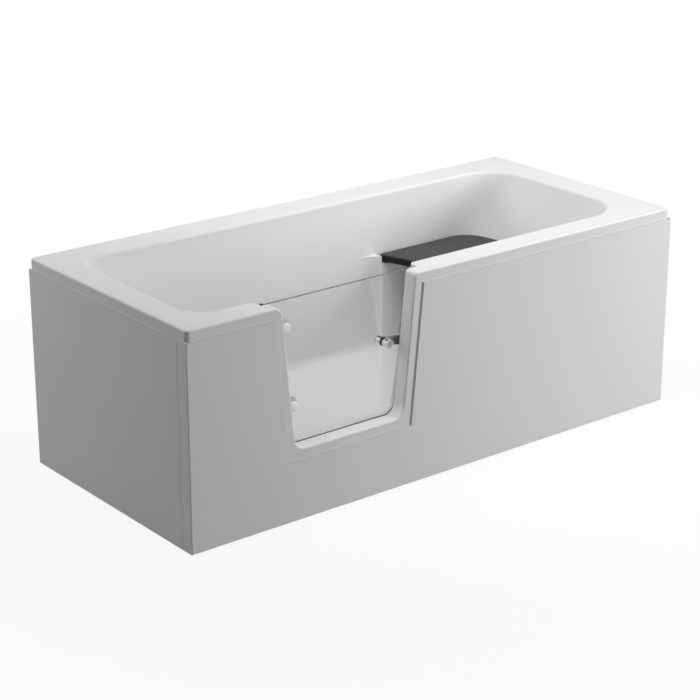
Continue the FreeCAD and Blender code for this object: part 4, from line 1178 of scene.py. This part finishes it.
bpy.ops.mesh.bevel(offset=paddle_tip_round, offset_type="OFFSET", segments=6, affect="VERTICES")
bpy.ops.mesh.select_all(action="SELECT")
bpy.ops.mesh.extrude_region_move(TRANSFORM_OT_translate={"value": (0.0, paddle_depth, 0.0)})
bpy.ops.mesh.select_all(action="SELECT")
bpy.ops.mesh.normals_make_consistent(inside=False)
bpy.ops.object.mode_set(mode="OBJECT")
hub_profile = [(0.0, 0.0), (paddle_hub, 0.0), (paddle_hub, paddle_depth), (0.0, paddle_depth)]
hub = turned("paddle_hub", hub_profile, steps=48)
hub.location = (latch_x, paddle_high.y, latch_z)
hub.rotation_euler = outwards
combine(paddle, "UNION", hub)
soften(paddle, paddle_edge_round)
settle(paddle, "latch", "chrome", smoked, chrome)
second_finish(paddle, lambda middle, normal: abs(normal.y) < mostly)
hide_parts("latch_paddle")


# Seat
# A loose board of graphite-coloured moulded plastic on four rubber pads. Its top has a fine grain and its
# edge is smooth; the edge is painted near black as painted shade, for faces turned from the light.

dress(rubber, "seat_pads")
seat_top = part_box("seat_board")[1].z
smooth_shaded_edge_ends = 0.005
grain_starts = 0.0015
graphite, place, shader = finish("graphite_seat", {"IOR": 1.5, "Specular IOR Level": 0.25})
# Painted shade: below the top the edge is near black, and only the top gets the graphite tone and grain.
top = rise(along(place, "Z"), seat_top - smooth_shaded_edge_ends, seat_top - grain_starts)
pebble = place.node("TexVoronoi", sockets={"Vector": place, "Scale": 900.0}, output="Distance")
tone = grain(place, 25.0, 4.0)
feed(shader, {
    "Base Color": blend(top, grey(0.012), blend(tone, grey(0.058), grey(0.070))),
    "Roughness": tone * 0.12 + 0.5,
    "Normal": relief(pebble * top, 0.00012),
})
dress(graphite, "seat_board")


# Front and end panels
# White acrylic panels, formed like the shell, backed with fibre, and sawn to size along the top and round
# the doorway. The front one wraps round both front corners, and both push onto zinc-plated brackets that
# are screwed to the cradle.

dress(zinc, "panel_brackets", "bracket_screws")
panel_sheet = 0.004
panel_border = 0.028
# The cut edges and their small round are grey: partly a dull cut face, partly painted shade over the light.
shaded_edge_depth = 0.0018


def panel_back(place):
    """1 on the hidden side of a panel."""
    front_side = along(place, "Y") > panel_low.y + panel_sheet * hidden_from
    end_side = abs(along(place, "X")) < panel_high.x - panel_sheet * hidden_from
    return front_side * end_side


def panel_edge(place):
    """1 on the cut edges at the top and round the doorway, which are greyed as painted shade."""
    z = along(place, "Z")
    border = panel_border + shaded_edge_depth
    half_cut = (z - sill) * door_lean + (sill_half + border / math.cos(door_angle))
    by_door = (abs(along(place, "X") - door_middle) < half_cut) * (z > sill - border)
    return (z > panel_high.z - shaded_edge_depth) | by_door


dress(moulded_acrylic("white_acrylic_panel", panel_back, panel_edge), "front_panel", "end_panel")
